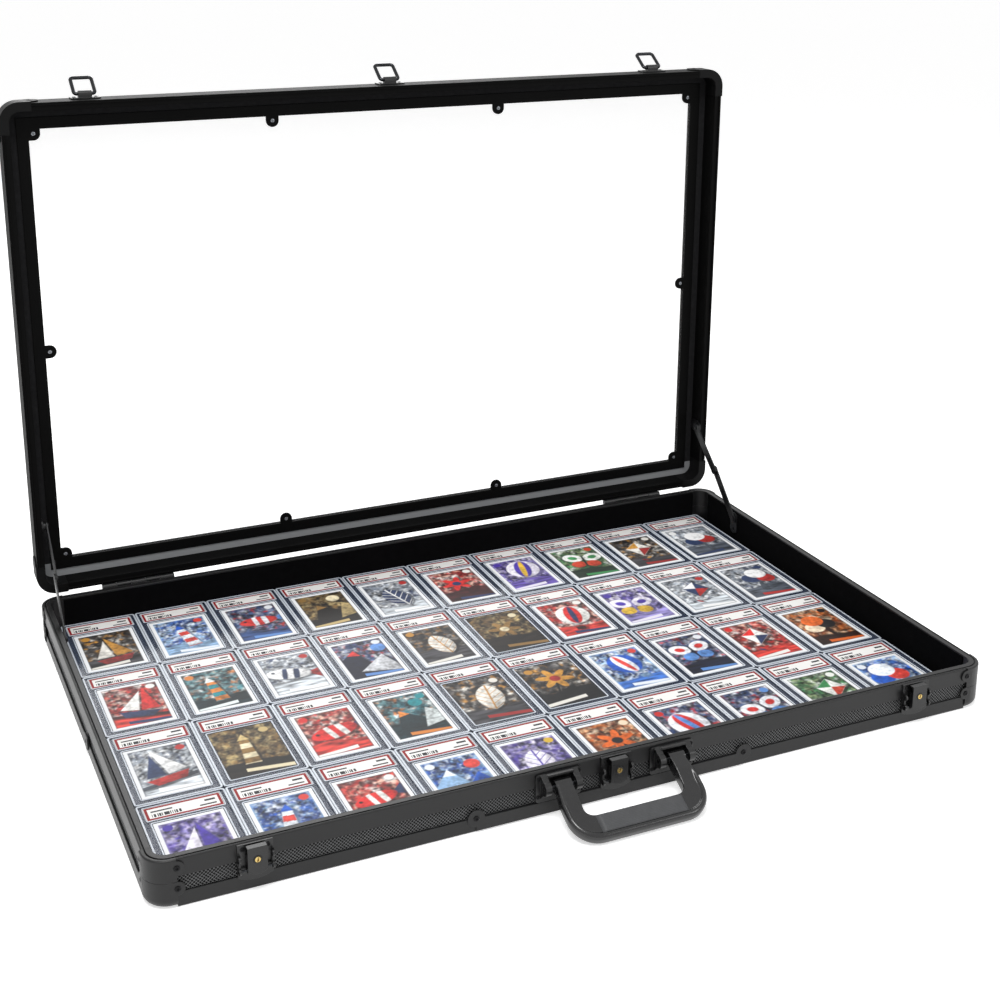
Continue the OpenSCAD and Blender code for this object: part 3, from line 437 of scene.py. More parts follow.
def motif(kind, x, y):
    """Layers of one simple motif about the origin, each a cover and the number of its ink."""
    if kind == 0:    # boat under sail
        return [(wedge(x, y, (-1, -0.62), (1, -0.62), (1, -0.5), (-1, -0.5)), 3),
                (wedge(x, y, (-0.3, -0.6), (0.28, -0.6), (0.42, -0.36), (-0.44, -0.36)), 2),
                (wedge(x, y, (0.03, -0.32), (0.42, -0.28), (0.03, 0.66)), 1),
                (wedge(x, y, (-0.4, -0.28), (-0.02, -0.32), (-0.02, 0.5)), 0)]
    if kind == 1:    # peaks under a sun
        return [(ellipse(x, y, 0.34, 0.46, 0.17, 0.17), 2),
                (wedge(x, y, (-0.8, -0.6), (0.35, -0.6), (-0.22, 0.36)), 3),
                (wedge(x, y, (-0.1, -0.6), (0.85, -0.6), (0.38, 0.14)), 0),
                (wedge(x, y, (-0.36, 0.12), (-0.08, 0.12), (-0.22, 0.36)), 1)]
    if kind == 2:    # balloon
        bands = ellipse(x, y, 0, 0.16, 0.4, 0.46)
        return [(bands, 0), (bands * ellipse(x, y, 0, 0.16, 0.2, 0.46), 1),
                (bands * ellipse(x, y, 0, 0.16, 0.07, 0.46), 2),
                (wedge(x, y, (-0.1, -0.62), (0.1, -0.62), (0.12, -0.46), (-0.12, -0.46)), 3)]
    if kind == 3:    # tree
        return [(wedge(x, y, (-0.07, -0.66), (0.07, -0.66), (0.05, 0.0), (-0.05, 0.0)), 3),
                (ellipse(x, y, -0.2, 0.05, 0.27, 0.25), 0),
                (ellipse(x, y, 0.22, 0.08, 0.26, 0.24), 2), (ellipse(x, y, 0.0, 0.36, 0.3, 0.27), 1)]
    if kind == 4:    # fish
        body = ellipse(x, y, -0.06, 0, 0.5, 0.24)
        return [(wedge(x, y, (0.34, 0.0), (0.7, -0.26), (0.7, 0.26)), 2), (body, 1),
                (body * ellipse(x, y, 0.12, 0, 0.07, 0.4), 0),
                (body * ellipse(x, y, -0.14, 0, 0.06, 0.4), 0), (ellipse(x, y, -0.4, 0.07, 0.045, 0.045), 3)]
    if kind == 5:    # flower
        angle, far = np.arctan2(y - 0.14, x), np.hypot(x, y - 0.14)
        return [(wedge(x, y, (-0.03, -0.7), (0.03, -0.7), (0.03, 0.1), (-0.03, 0.1)), 3),
                (ellipse(x, y, 0.2, -0.36, 0.2, 0.08, 0.7), 3),
                (soft(far - 0.3 - 0.12 * np.cos(6 * angle)), 1), (soft(far - 0.12), 2)]
    if kind == 6:    # kite
        return [(wedge(x, y, (0, -0.3), (0.36, 0.2), (0, 0.6), (-0.36, 0.2)), 0),
                (wedge(x, y, (0, -0.3), (0.36, 0.2), (0, 0.2)), 2),
                (wedge(x, y, (-0.36, 0.2), (0, 0.2), (0, 0.6)), 1),
                (ellipse(x, y, 0.1, -0.44, 0.09, 0.04, 0.6), 1),
                (ellipse(x, y, -0.06, -0.58, 0.09, 0.04, -0.6), 2)]
    if kind == 7:    # light tower
        tower = wedge(x, y, (-0.17, -0.62), (0.17, -0.62), (0.1, 0.34), (-0.1, 0.34))
        stripes = (np.sin(y * 16) > 0) * 1.0
        return [(wedge(x, y, (-0.8, -0.72), (0.8, -0.72), (0.5, -0.54), (-0.5, -0.54)), 3), (tower, 1),
                (tower * stripes, 2), (wedge(x, y, (-0.13, 0.34), (0.13, 0.34), (0.0, 0.58)), 0)]
    if kind == 8:    # leaf
        leaf = ellipse(x, y, -0.16, 0, 0.46, 0.56) * ellipse(x, y, 0.16, 0, 0.46, 0.56)
        return [(leaf, 0), (leaf * soft(abs(x) - 0.02), 1),
                (leaf * soft(abs((y - abs(x) * 0.9) % 0.2 - 0.1) - 0.012), 1)]
    # butterfly
    return [(ellipse(abs(x), y, 0.27, 0.2, 0.27, 0.22, 0.5), 0),
            (ellipse(abs(x), y, 0.2, -0.2, 0.2, 0.18, -0.4), 2),
            (ellipse(abs(x), y, 0.27, 0.2, 0.13, 0.1, 0.5), 1), (ellipse(x, y, 0, 0, 0.035, 0.36), 3)]


def value_noise(rng, u, v, cells):
    """Value noise at the places u, v from 0 to 1: random heights on a grid of cells, mixed along both
    sides."""
    tall = int(cells * 1.4)
    table = rng.uniform(-1, 1, (cells + 2, tall + 3))
    gx, gy = u * cells, v * tall
    i, j = gx.astype(int), gy.astype(int)
    fx, fy = gx - i, gy - j
    low = table[i, j] * (1 - fx) + table[i + 1, j] * fx
    high = table[i, j + 1] * (1 - fx) + table[i + 1, j + 1] * fx
    return low * (1 - fy) + high * fy


def painted(colour, cover, ink):
    """Lays an ink over colours where cover is one."""
    return colour * (1 - cover[:, None]) + cover[:, None] * ink


def picture(number, tone, margin, u, v):
    """Colours of one card's picture at the places u, v from 0 to 1: a mottled ground over a streaked
    foreground, a large motif with its shadow, a corner disc, a slanted band, a thin keyline and a white
    margin."""
    rng = np.random.default_rng(500 + number)
    grounds, accents = (np.array([linear(c) for c in group]) for group in TONES[tone])
    aspect = CARD[1] / CARD[0]
    x, y = u * 2 - 1, (v * 2 - 1) * aspect
    # Mottle: each of seven noises chooses how much of one ink shows there
    weight = np.stack([np.exp(5.5 * value_noise(rng, u, v, int(cells)))
                       for cells in (6, 9, 13, 17, 21, 12, 15)])
    crowd = np.concatenate([grounds, accents[:2]])
    weight[5:] *= 0.45
    colour = np.einsum("kn,kc->nc", weight / weight.sum(0), crowd)
    fleck = 0.5 * value_noise(rng, u, v, 13) + 0.5 * value_noise(rng, u, v, 30)
    colour = colour * np.clip(0.8 + 1.1 * fleck, 0.1, 2.0)[:, None]
    # Foreground: one tone with long level streaks
    near = soft(y + rng.uniform(0.35, 0.75) + 0.08 * np.sin(3 * x + number), 0.05)
    streak = np.clip(1 + 0.9 * value_noise(rng, u * 0.25, v, 24), 0.2, 2)
    colour = painted(colour, near, grounds[number % 2 + 1] * streak[:, None])
    size, turn = rng.uniform(1.35, 1.6), rng.uniform(-0.3, 0.3)
    mx, my = x - rng.uniform(-0.15, 0.15), y - rng.uniform(-0.1, 0.15)
    c, s = math.cos(turn) / size, math.sin(turn) / size
    inks = [accents[0], accents[1], accents[2], grounds[2]]
    kind = number * 7 % 10
    for cover, _ in motif(kind, c * (mx - 0.09) + s * (my + 0.09), c * (my + 0.09) - s * (mx - 0.09)):
        colour = painted(colour, 0.6 * cover, grounds[2] * 0.4)
    shade = np.clip(0.95 + 0.55 * fleck + 0.3 * (y - x), 0.35, 1.5)
    for cover, ink in motif(kind, c * mx + s * my, c * my - s * mx):
        colour = painted(colour, cover, inks[ink] * shade[:, None])
    side = 1 if number % 3 else -1
    badge = soft(np.hypot(x - side * 0.66, y - aspect + 0.36) - 0.15)
    colour = painted(colour, badge, accents[(number + 1) % 3])
    band = soft(abs(x * 0.12 * side + y + 1.14) - 0.09) * (x * side > -0.45)
    colour = painted(colour, band, accents[number % 3])
    if margin:
        edge = np.maximum(abs(x) - 0.88, abs(y) - (aspect - 0.12))
        colour = painted(colour, soft(abs(edge + 0.02) - 0.012), grounds[2])
        colour = painted(colour, soft(-edge), np.array(linear("#f2f3f5")))
    return np.clip(colour, 0, 1)


# Settings

class CaseSizes(bpy.types.PropertyGroup):
    mesh_pitch: FloatProperty(name="Mesh pitch",
                              description="Half the distance between ribs of the embossed sheet",
                              default=0.0017, min=0.0005, unit="LENGTH")
    screw_radius: FloatProperty(name="Corner screw radius",
                                description="Radius of the screw heads on the corner pieces", default=0.0028,
                                min=0.001, unit="LENGTH")
    small_radius: FloatProperty(name="Small screw radius",
                                description="Radius of the screw heads on the fittings", default=0.0021,
                                min=0.0005, unit="LENGTH")
    bead: FloatProperty(name="Holder bead", description="Thickness of the clear beads on the card holders",
                        default=0.0006, min=0.0002, unit="LENGTH")
    card_points: IntProperty(name="Picture points", description="Points across each printed picture",
                             default=78, min=8)
    floor_size: FloatProperty(name="Floor size", description="Width of the floor", default=60.0, min=2.0,
                              unit="LENGTH")


class CaseColours(bpy.types.PropertyGroup):
    key_light: FloatVectorProperty(name="Key light", description="Colour of the soft light over the case",
                                   default=(1.0, 1.0, 1.0), size=3, min=0, max=1, subtype="COLOR")
    floor: FloatVectorProperty(name="Floor", description="Colour of the floor", default=linear("#f4f4f4"),
                               size=3, min=0, max=1, subtype="COLOR")


# Pieces

class CASE_OT_stage(bpy.types.Operator):
    """Adds the pale floor, the soft light and the camera."""
    bl_idname = "card_case.stage"
    bl_label = "Stage"

    def execute(self, context):
        scene, sizes, colours = context.scene, context.scene.case_sizes, context.scene.case_colours
        half = sizes.floor_size / 2
        mesh = bpy.data.meshes.new("floor")
        corners = [(x * half, y * half, -0.0004) for x, y in ((-1, -1), (1, -1), (1, 1), (-1, 1))]
        mesh.from_pydata(corners, [], [(0, 1, 2, 3)])
        floor = bpy.data.objects.new("floor", mesh)
        scene.collection.objects.link(floor)
        material, tree, shader = shader_of("pale painted floor", "#f4f4f4", Roughness=0.9)
        shader.inputs["Base Color"].default_value = (*colours.floor, 1)
        seen = seen_rays(tree)
        floor_glow = 0.56
        tree.links.new(maths(tree, "MULTIPLY", seen, floor_glow), shader.inputs["Emission Strength"])
        shader.inputs["Emission Color"].default_value = (1, 1, 1, 1)
        mesh.materials.append(material)

        world = bpy.data.worlds.new("soft room")
        scene.world = world
        world.use_nodes = True
        tree = world.node_tree
        tree.nodes.clear()
        seen = seen_rays(tree)
        level = put(tree, "ShaderNodeMapRange", {"Value": seen, "To Min": 0.42, "To Max": 1.0}).outputs[0]
        sky = put(tree, "ShaderNodeBackground", {"Color": (1, 1, 1, 1), "Strength": level})
        put(tree, "ShaderNodeOutputWorld", {"Surface": sky.outputs[0]})

        # Each light: its place and width in metres and its power in watts
        lights = {"key": ((-0.7, -0.9, 2.3), 0.9, 36.0), "fill": ((1.5, -1.9, 1.3), 0.7, 8.0),
                  "rim": ((0.4, 2.4, 1.7), 1.6, 30.0)}
        for name, (place, size, power) in lights.items():
            lamp = bpy.data.lights.new(name, "AREA")
            lamp.size, lamp.energy, lamp.color = size, power, colours.key_light
            shown = bpy.data.objects.new(name, lamp)
            shown.matrix_world = Matrix(facing(place, place).tolist() + [[0, 0, 0, 1]])
            scene.collection.objects.link(shown)

        lens = bpy.data.cameras.new("camera")
        focal_px, image_px, sensor_mm = 1568.6, 1000, 36.0
        lens.sensor_width, lens.lens = sensor_mm, focal_px * sensor_mm / image_px
        lens.shift_x, lens.shift_y = 0.010, -0.150
        lens.clip_end = 100
        # The camera's place in metres, and its azimuth, downward tilt and roll in degrees, as fitted to the
        # photograph
        place = [-0.632, -1.3938, 0.806]
        azimuth, fall, roll = (math.radians(a) for a in (24.199, 16.285, 0.251))
        ahead = np.array([math.sin(azimuth) * math.cos(fall), math.cos(azimuth) * math.cos(fall),
                          -math.sin(fall)])
        right = np.array([math.cos(azimuth), -math.sin(azimuth), 0.0])
        level, rise = right, np.cross(right, ahead)
        right = math.cos(roll) * level + math.sin(roll) * rise
        up = math.cos(roll) * rise - math.sin(roll) * level
        camera = bpy.data.objects.new("camera", lens)
        camera.matrix_world = Matrix(np.vstack([np.column_stack([right, up, -ahead, place]),
                                                [0, 0, 0, 1]]).tolist())
        scene.collection.objects.link(camera)
        scene.camera = camera
        scene.view_settings.view_transform = "Standard"
        return {"FINISHED"}


class CASE_OT_finishes(bpy.types.Operator):
    """Gives every solid of the case the material of its real counterpart."""
    bl_idname = "card_case.finishes"
    bl_label = "Finishes"

    def execute(self, context):
        sides = ("front", "back", "left", "right")
        # Extruded aluminium, black anodised: satin, its edges broken by the die
        dress(grained("black anodised aluminium", "#0a0a0b", "#101011", 0.9, 60, 0.015, (0.34, 0.46), 0.8,
                      Specular_IOR_Level=0.4),
              *(f"{part}_{side}" for part in ("upper_rail", "lower_rail") for side in sides))
        # The lid's bars and retainer: the same black anodised aluminium, coloured darker as painted shade
        # and given a duller, weaker gloss, so they stay deep black
        dress(grained("black aluminium in painted shade", "#040404", "#070707", 0.9, 60, 0.02, (0.5, 0.6), 0.7,
                      Specular_IOR_Level=0.06),
              *(f"lid_rail_{side}" for side in sides), "lid_retainer")
        # Injection moulded ABS: fine spark-eroded grain, a little duller than the metal
        dress(grained("moulded ABS", "#0a0a0b", "#101011", 0.8, 25, 0.03, (0.36, 0.5), 0.6,
                      Specular_IOR_Level=0.42),
              "upper_corners", "lower_corners", "front_skirt", "side_bosses")
        # The lid's corner pieces: the same moulded ABS, coloured darker as painted shade and given a duller,
        # weaker gloss
        dress(grained("moulded ABS in painted shade", "#050505", "#09090a", 0.8, 25, 0.03, (0.45, 0.6), 0.6,
                      Specular_IOR_Level=0.12), "lid_corners")
        # The handle is a smoother moulding with broad soft highlights
        dress(grained("smooth moulded nylon", "#0d0d0e", "#131314", 3.0, 20, 0.004, (0.2, 0.28),
                      Specular_IOR_Level=0.6), "handle_body")
        dress(diamond_sheet(context.scene.case_sizes.mesh_pitch / MM),
              *(f"side_panel_{side}" for side in sides))
        dress(grained("black hardboard", "#0e0e0f", "#151516", 1.5, 40, 0.05, (0.5, 0.7)), "bottom_panel")
        # Black felt: matted fibres about 0.6 mm across that soak up the light
        dress(grained("black felt", "#030304", "#080809", 0.6, 9, 0.25, (0.9, 1.0), Specular_IOR_Level=0.05),
              "floor_felt", "wall_lining")
        # Powder-coated steel: even black with a slight orange peel about 0.8 mm wide
        dress(grained("powder coated steel", "#0b0b0c", "#111112", 0.8, 12, 0.02, (0.26, 0.38), 0.5),
              "latch_plates", *(f"lever_{name}" for name in LATCHES), "ring_brackets", "handle_brackets",
              "hinge_base_leaves", "hinge_lid_leaves")
        # Black nickel on spring steel: dark mirror with bright edges
        dress(grained("black nickel plate", "#2c2d2f", "#3a3b3d", 0.8, 10, 0.004, (0.14, 0.22),
                      Metallic=1.0),
              *(f"ring_{name}" for name in LATCHES), "latch_pins", "handle_pins", "hinge_pins")
        # Blackened steel strip: rolled, oiled and dull
        dress(grained("blackened steel strip", "#111112", "#1d1e1f", 0.6, 8, 0.01, (0.3, 0.45), 0.4,
                      Metallic=0.5),
              "stay_base_brackets", "stay_lid_brackets",
              *(f"stay_{bar}_{side}" for bar in ("lower", "upper") for side in ("left", "right")))
        # Turned brass: yellow with fine tool marks
        dress(grained("turned brass", "#b59a5a", "#d9c386", 0.5, 3, 0.01, (0.2, 0.34), Metallic=1.0),
              *(f"key_{name}" for name in LATCHES))
        dress(foam_strip(0.075), "lid_foam")
        # Cast acrylic, clear: the room shows through it unchanged
        dress(clear_plastic("cast acrylic", "#ffffff", 0.06, (0.03, 0.06), 80), "lid_window")
        dress(clear_plastic("clear polystyrene", "#566075", 0.42, (0.08, 0.2), 14), "holder_shells")
        return {"FINISHED"}


class CASE_OT_fixings(bpy.types.Operator):
    """Adds the cross-head screws and rivets that hold the corner pieces and fittings."""
    bl_idname = "card_case.fixings"
    bl_label = "Screws and rivets"

    def execute(self, context):
        sizes = context.scene.case_sizes
        big, small = sizes.screw_radius / MM, sizes.small_radius / MM
        black = grained("black zinc screw", "#0d0d0e", "#19191b", 0.5, 3, 0.01, (0.25, 0.4), Metallic=0.7)
        steel = grained("nickel plated screw", "#6c6f74", "#8a8d91", 0.5, 3, 0.01, (0.2, 0.32), Metallic=1.0)
        # Places of the screws in millimetres, from the middle of the case out
        corner_z, lid_corner_z, foot_z = (37.5, 18.2), 61.5, 14
        corner_y, corner_x, lid_corner_y, lid_corner_x = 249, 408, 241, 400
        lug_x, lug_y, lug_z, mid_lug_x = 397.2, 238.2, 69, 138
        hinge_x, hinge_step, hinge_z, hinge_lid_z = 322, 30, 31, 61
        bracket_x, bracket_step, bracket_z = 59, 20.6, (20.5, 38.5)
        foot_x, foot_proud, plate_proud, ring_proud, leaf_proud = 140, 1.2, 2, 1.6, 1.5
        base_stay, lid_stay, lid_stay_z = (421, 184.5, 22), (422, 193.5), (58.5, 64.5)
        front, back = -HALF_D, HALF_D
        base_big, base_small, lid_big, lid_small, lugs = [], [], [], [], []
        for sx in (-1, 1):
            for sy in (-1, 1):
                end_y = sy * (HALF_D + PROUD)
                for z in corner_z:
                    base_big += [((sx * END_X, sy * corner_y, z), (sx, 0, 0)),
                                 ((sx * corner_x, end_y, z), (0, sy, 0))]
                lid_big += [((sx * END_X, sy * lid_corner_y, lid_corner_z), (sx, 0, 0)),
                            ((sx * lid_corner_x, end_y, lid_corner_z), (0, sy, 0))]
                lugs.append(((sx * lug_x, sy * lug_y, lug_z), (0, 0, -1)))
                lugs.append(((sx * mid_lug_x, sy * lug_y, lug_z), (0, 0, -1)))
            lugs.append(((sx * lug_x, 0, lug_z), (0, 0, -1)))
            base_big += [((sx * foot_x, front - foot_proud, foot_z), (0, -1, 0)),
                         ((sx * END_X, 0, foot_z), (sx, 0, 0))]
            for x in (-hinge_step, 0, hinge_step):
                base_small.append(((sx * hinge_x + x, back + leaf_proud, hinge_z), (0, 1, 0)))
                lid_small.append(((sx * hinge_x + x, back + leaf_proud, hinge_lid_z), (0, 1, 0)))
            base_small += [((sx * bracket_x + x, front - plate_proud, z), (0, -1, 0))
                           for x in (-bracket_step, bracket_step) for z in bracket_z]
            base_small.append(((sx * base_stay[0], *base_stay[1:]), (-sx, 0, 0)))
            lid_small += [((sx * lid_stay[0], lid_stay[1], z), (-sx, 0, 0)) for z in lid_stay_z]
        for x in LATCHES.values():
            base_small += [((x + dx, front - plate_proud, 40.6), (0, -1, 0)) for dx in (-11, 11)]
            lid_small += [((x + dx, front - ring_proud, 65), (0, -1, 0)) for dx in (-11.4, 11.4)]
        for name, body, places, radius, material, slot in (
                ("base_corner_screws", "base", base_big, big, black, "latch_black"),
            ("base_fitting_screws", "base", base_small, small, black, "latch_black"),
                ("lid_corner_screws", "lid", lid_big, big, black, "latch_black"),
            ("lid_fitting_screws", "lid", lid_small, small, black, "latch_black"),
                ("window_screws", "lid", lugs, small, steel, "bright_steel")):
            points, faces = pan_head(radius, 0.36 * radius, 0.3 * radius)
            where, normals = np.array([p for p, _ in places], float), np.array([n for _, n in places], float)
            if body == "lid":
                where, normals = opened(where), opened(normals, direction=True)
            points, faces = several(points, faces, [facing(p, n) for p, n in zip(where, normals)])
            piece(name, body, points, faces, material)
        return {"FINISHED"}


class CASE_OT_rings(bpy.types.Operator):
    """Adds the bowed latch rings on the lid in place of their plain loops."""
    bl_idname = "card_case.rings"
    bl_label = "Latch rings"

    def execute(self, context):
        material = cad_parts["ring_left"].data.materials[0]
        path = rounded_path(RING_W, RING_RUN, RING_CORNER, 9) + [0, -RING_RUN / 2]
        points, faces = swept(path, RING_WIRE, RING_WIRE, 14)
        points = leaned(points, -RING_LEAN)
        for name, x in LATCHES.items():
            there = opened(points + [x, *RING_PIVOT])
            piece(f"bowed_ring_{name}", f"ring_{name}", there, faces, material,
                  [f"ring_{name}"])
        return {"FINISHED"}


def handle_edges():
    """Outer and inner edge of the handle, station by station from one arm's top round the grip to the other:
    both are straight down the arm, turn a quarter about their own corner centres and run straight along the
    grip."""
    down, turn, along = np.linspace(0, 1, 22), np.linspace(0, math.pi / 2,
                                                           26)[1:], np.linspace(0, 1, 24)[1:-1]
    # Half widths of the arms, how far they flare and over what drop, and each corner's centre and radii
    arm_out, arm_in, flare, flare_drop, arm_drop = 67, 51, 3, 22, 34
    outer_x, outer_y, outer_r = 43, 36, 27
    inner_x, inner_y, inner_rx, inner_ry = 41, 30, 10, 8
    side = np.stack([-arm_out - flare * np.clip(down * arm_drop / flare_drop, 0, 1), -arm_drop * down], -1)
    inside = np.stack([-arm_in + 0 * down, -inner_y * down], -1)
    bend = np.stack([-outer_x - outer_r * np.cos(turn), -outer_y - outer_r * np.sin(turn)], -1)
    fillet = np.stack([-inner_x - inner_rx * np.cos(turn), -inner_y - inner_ry * np.sin(turn)], -1)
    ends = [np.concatenate([side, bend]), np.concatenate([inside, fillet])]
    grip = [np.stack([x * (2 * along - 1), y + 0 * along], -1)
            for x, y in ((outer_x, -outer_y - outer_r), (inner_x, -inner_y - inner_ry))]
    return [np.concatenate([end, mid, end[::-1] * [-1, 1]]) for end, mid in zip(ends, grip)]


def handle_section(share, dish):
    """Heights over one section, whose share runs from the outer edge to the inner one: an arc of radius 4.5
    mm at the outer edge and 1.5 mm at the inner one, and on top a dish that starts 4.4 mm from the outer
    edge."""
    width, half_thick, big, little = 25.0, 6, 4.5, 1.5
    rim, ramp, depth = 4.4, 3.0, 2.5
    outer, inner = share * width, (1 - share) * width
    fall = big - np.sqrt(np.clip(big ** 2 - np.clip(big - outer, 0, big) ** 2, 0, None))
    near = little - np.sqrt(np.clip(little ** 2 - np.clip(little - inner, 0, little) ** 2, 0, None))
    edge = half_thick - np.maximum(fall, near)
    slope = np.clip((outer - rim) / ramp, 0, 1)
    return edge - dish * depth * slope * slope * (3 - 2 * slope), edge


class CASE_OT_locks(bpy.types.Operator):
    """Adds the small brass plugs with their keyways and the black collars that hold them in the latch
    covers."""
    bl_idname = "card_case.locks"
    bl_label = "Lock plugs"

    def execute(self, context):
        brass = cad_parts["key_left"].data.materials[0]
        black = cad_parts["lever_left"].data.materials[0]
        front = min(v.co.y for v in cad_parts["key_left"].data.vertices) / MM
        turn = np.arange(32) * math.pi / 16
        # Radii and depths run from the middle of the plug's face out and back along its side
        radii = np.concatenate([np.linspace(0.1, 2.5, 15), [2.6, 2.6]])
        depth = np.concatenate([np.zeros(15), [0.2, 5.0]])
        px, pz = radii[:, None] * np.cos(turn), radii[:, None] * np.sin(turn)
        # Keyway: an upright slot 1.1 mm wide and 3.6 mm high that sinks by 1.5 mm
        slot = np.clip((0.6 - abs(px)) / 0.12, 0, 1) * np.clip((1.85 - abs(pz)) / 0.15, 0, 1)
        sunk = np.minimum(depth[:, None] + 1.5 * slot, 5.0)
        plug = np.stack([px, front + sunk, pz + KEY_Z], -1).reshape(-1, 3)
        plug_faces = closed_rings(len(radii), 32)
        profile = np.array([(2.7, 0.5), (2.95, 0.2), (3.35, 0.05), (3.7, 0.25), (3.75, 0.6), (3.75, 5.0),
                            (2.7, 5.0)])
        ring = profile[:, :1, None] * np.stack([np.cos(turn), np.sin(turn)], -1)
        collar = np.stack([ring[..., 0], front + profile[:, 1:] + 0 * ring[..., 0], ring[..., 1] + KEY_Z],
                          -1).reshape(-1, 3)
        collar_faces = grid_faces(len(profile), 32, True, True)[:, ::-1].tolist()
        for name, x in LATCHES.items():
            piece(f"brass_plug_{name}", f"key_{name}", plug + [x, 0, 0], plug_faces, brass,
                  [f"key_{name}"])
            piece(f"plug_collar_{name}", f"lever_{name}", collar + [x, 0, 0], collar_faces, black)
        return {"FINISHED"}


class CASE_OT_grip(bpy.types.Operator):
    """Adds the lofted handle and its crowned, finely ridged pad."""
    bl_idname = "card_case.grip"
    bl_label = "Handle"

    def execute(self, context):
        # Smooth moulded nylon body: edges in pairs of stations, one section lofted between them
        outer, inner = handle_edges()
        share = 0.5 - 0.5 * np.cos(np.linspace(0, math.pi, 44))
        dish_start, dish_run = 12, 18
        dish = np.clip((-inner[:, 1] - dish_start) / dish_run, 0, 1)
        dish = dish * dish * (3 - 2 * dish)
        flat = outer[:, None, :] + (inner - outer)[:, None, :] * share[None, :, None]
        top, under = handle_section(share[None, :], dish[:, None])
        above = np.concatenate([flat, top[..., None]], -1)
        below = np.concatenate([flat, np.broadcast_to(-under, top.shape)[..., None]], -1)[:, -2:0:-1]
        loft = np.concatenate([above, below], 1)
        faces = closed_rings(*loft.shape[:2])
        points = [loft.reshape(-1, 3)]
        # Barrels round the pins at the top of both arms
        turn = np.arange(40) * math.pi / 20
        barrel_x, barrel_half, barrel_r = 59, 8, 6.2
        for x in (-barrel_x, barrel_x):
            first = sum(len(p) for p in points)
            round_y, round_z = barrel_r * np.cos(turn), barrel_r * np.sin(turn)
            points += [np.stack([np.full(40, x + dx), round_y, round_z], -1)
                       for dx in (barrel_half, -barrel_half)]
            faces += closed_rings(2, 40, first)
        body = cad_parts["handle_body"].data.materials[0]
        piece("lofted_handle", "handle", leaned(np.concatenate(points), HANDLE_HANG, HANDLE_PIVOT), faces,
              body, ["handle_body"])

        # Soft touch rubber: grey, matt, moulded with fine lengthwise ridges
        material = grained("soft touch rubber", "#3a3b3d", "#454648", 0.5, 8, 0.03, (0.5, 0.62))
        u, v = np.meshgrid(np.linspace(-1, 1, 41), np.linspace(-1, 1, 65), indexing="ij")
        # Height: a crown across, a superellipse fall at all four edges and twelve ridges
        edge = np.clip(1 - np.abs(u) ** 30, 0, 1) * np.clip(1 - np.abs(v) ** 10, 0, 1)
        pad_thick, crown, ridge = 2.5, 0.75, 0.1
        height = (pad_thick + crown * (1 - v ** 2)) * edge ** 0.35 + ridge * np.cos(v * 38) * edge
        half_l, half_w, middle, foot = 44, 9.1, -48.45, 3.5
        top = np.stack([half_l * u, middle + half_w * v, foot + height], -1).reshape(-1, 3)
        index = np.arange(41 * 65).reshape(41, 65)
        ring = np.concatenate([index[:-1, 0], index[-1, :-1], index[:0:-1, -1], index[0, :0:-1]])
        faces = grid_faces(41, 65)[:, ::-1].tolist() + [ring[::-1].tolist()]
        piece("ridged_grip_pad", "handle", leaned(top, HANDLE_HANG, HANDLE_PIVOT), faces, material,
              ["handle_grip"])
        return {"FINISHED"}


class CASE_OT_holders(bpy.types.Operator):
    """Adds the beads, pale as a painted highlight, the inner frames and the labels of the card holders."""
    bl_idname = "card_case.holders"
    bl_label = "Holders and labels"

    def execute(self, context):
        bead = context.scene.case_sizes.bead / MM
        across = (np.arange(GRID[0]) - (GRID[0] - 1) / 2) * PITCH[0]
        along = (np.arange(GRID[1]) - (GRID[1] - 1) / 2) * PITCH[1]
        places = [np.column_stack([np.eye(3), [x, y, 0]]) for y in along for x in across]
        # Pale, nearly opaque beads along the holder, card and label edges: a painted highlight on the clear
        # plastic
        rim = clear_plastic("polystyrene edge with painted highlight", "#dfe6ef", 0.85, (0.1, 0.2), 8)
        parts = ((rounded_path(80.4, 128.9, 2.6), 12.95, 0.0, 1.9),
                 (rounded_path(66.4, 91.8, 1.8), 12.6, CARD[2], 1.2),
                 (rounded_path(71.6, 22.6, 1.0), 12.5, LABEL[2], 0.9))
        points, faces, count = [], [], 0
        for path, z, shift, wide in parts:
            p, f = swept(path + [0, shift], wide * bead, 0.6 * bead, 6)
            p[:, 2] += z
            faces += (f + count).tolist()
            points.append(p)
            count += len(p)
        points, faces = several(np.concatenate(points), faces, places)
        piece("holder_beads", "cards", points, faces, rim)

        p, f, u, v, ring = slab(LABEL[0], LABEL[1], FIELD_Z - 0.8, FIELD_Z + 0.02, 9, 5)
        p[:, 1] += LABEL[2]
        points, faces = several(p, f, places)
        labels = piece("printed_labels", "cards", points, faces, printed_label(),
                       ["holder_labels"], smooth=False)
        flat = np.concatenate([np.stack([u, v], -1), np.stack([u, v], -1)[ring]])
        sheet = labels.data.uv_layers.new(name="sheet")
        corner = np.empty(len(labels.data.loops), np.int32)
        labels.data.loops.foreach_get("vertex_index", corner)
        sheet.data.foreach_set("uv", np.tile(flat, (len(places), 1))[corner].astype(np.float32).ravel())
        return {"FINISHED"}


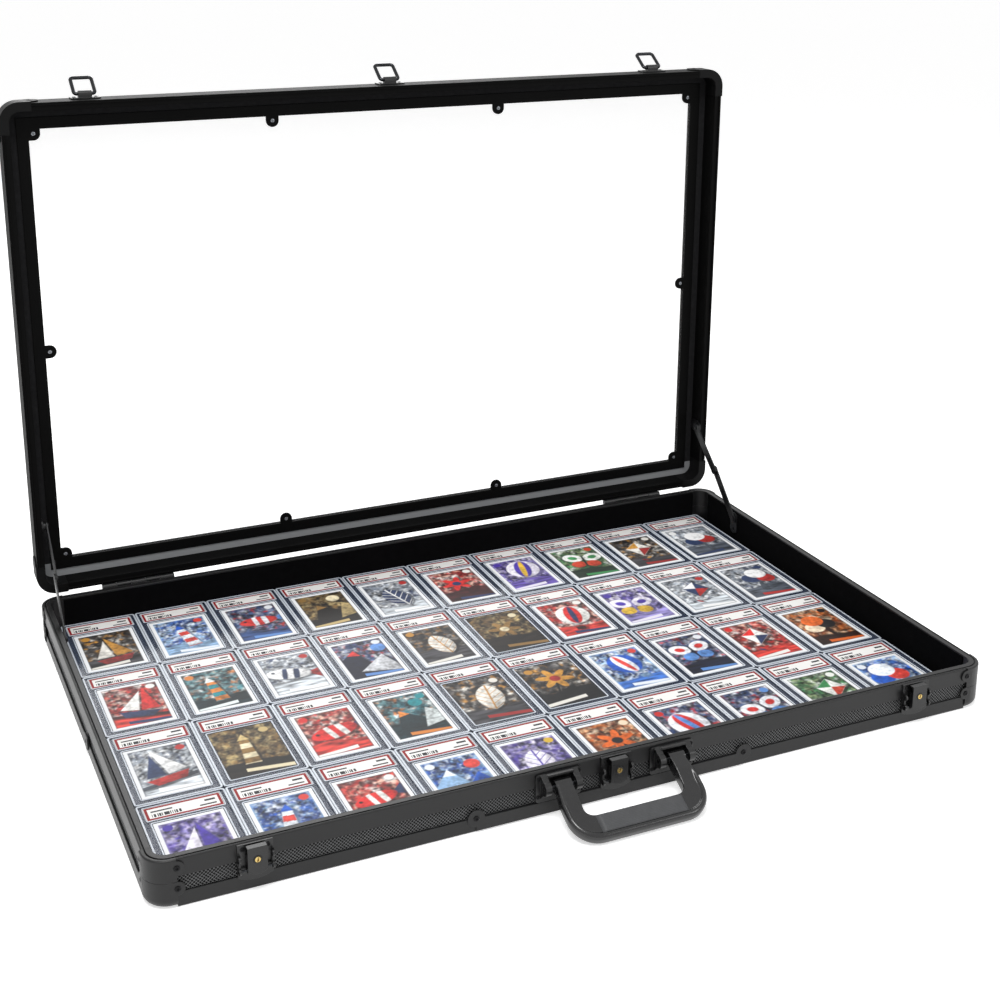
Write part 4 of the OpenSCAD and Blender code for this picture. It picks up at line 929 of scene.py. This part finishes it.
class CASE_OT_cards(bpy.types.Operator):
    """Adds the printed cards, one piece for each row of ten."""
    bl_idname = "card_case.cards"
    bl_label = "Printed cards"

    def execute(self, context):
        nx = context.scene.case_sizes.card_points
        ny = int(nx * CARD[1] / CARD[0])
        material = printed_card()
        p, f, u, v, ring = slab(CARD[0], CARD[1], FIELD_Z - 0.8, FIELD_Z + 0.02, nx, ny)
        p[:, 1] += CARD[2]
        for row, tones in enumerate(LAYOUT):
            y = (row - (GRID[1] - 1) / 2) * PITCH[1]
            places = [np.column_stack([np.eye(3), [(col - (GRID[0] - 1) / 2) * PITCH[0], y, 0]])
                      for col in range(GRID[0])]
            points, faces = several(p, f, places)
            cards = piece(f"printed_cards_row_{row + 1}", "cards", points, faces, material,
                          ["holder_cards"] if row == 0 else (), smooth=False)
            inks = []
            for col, tone in enumerate(tones):
                top = picture(row * GRID[0] + col, tone[0], len(tone) == 1, u, v)
                inks.append(np.concatenate([top, np.full((len(ring), 3), 0.8)]))
            ink = cards.data.color_attributes.new("ink", "FLOAT_COLOR", "POINT")
            inks = np.concatenate(inks)
            ink.data.foreach_set("color",
                                 np.column_stack([inks, np.ones(len(inks))]).astype(np.float32).ravel())
        return {"FINISHED"}


class CASE_PT_panel(bpy.types.Panel):
    """Lists the steps that make the case."""
    bl_idname = "CASE_PT_panel"
    bl_label = "Card case"
    bl_space_type = "VIEW_3D"
    bl_region_type = "UI"
    bl_category = "Card case"

    def draw(self, context):
        for group in (context.scene.case_sizes, context.scene.case_colours):
            for key in group.bl_rna.properties.keys():
                if key not in ("rna_type", "name"):
                    self.layout.prop(group, key)
        for step in STEPS:
            self.layout.operator(step.bl_idname)


STEPS = (CASE_OT_stage, CASE_OT_finishes, CASE_OT_fixings, CASE_OT_rings, CASE_OT_locks, CASE_OT_grip,
         CASE_OT_holders, CASE_OT_cards)
CLASSES = (CaseSizes, CaseColours, *STEPS, CASE_PT_panel)


def register():
    for cls in CLASSES:
        bpy.utils.register_class(cls)
    bpy.types.Scene.case_sizes = PointerProperty(type=CaseSizes)
    bpy.types.Scene.case_colours = PointerProperty(type=CaseColours)


def unregister():
    del bpy.types.Scene.case_colours
    del bpy.types.Scene.case_sizes
    for cls in reversed(CLASSES):
        bpy.utils.unregister_class(cls)


def main():
    """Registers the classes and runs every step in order."""
    register()
    for step in STEPS:
        group, name = step.bl_idname.split(".")
        getattr(getattr(bpy.ops, group), name)()


if __name__ == "__main__":
    main()
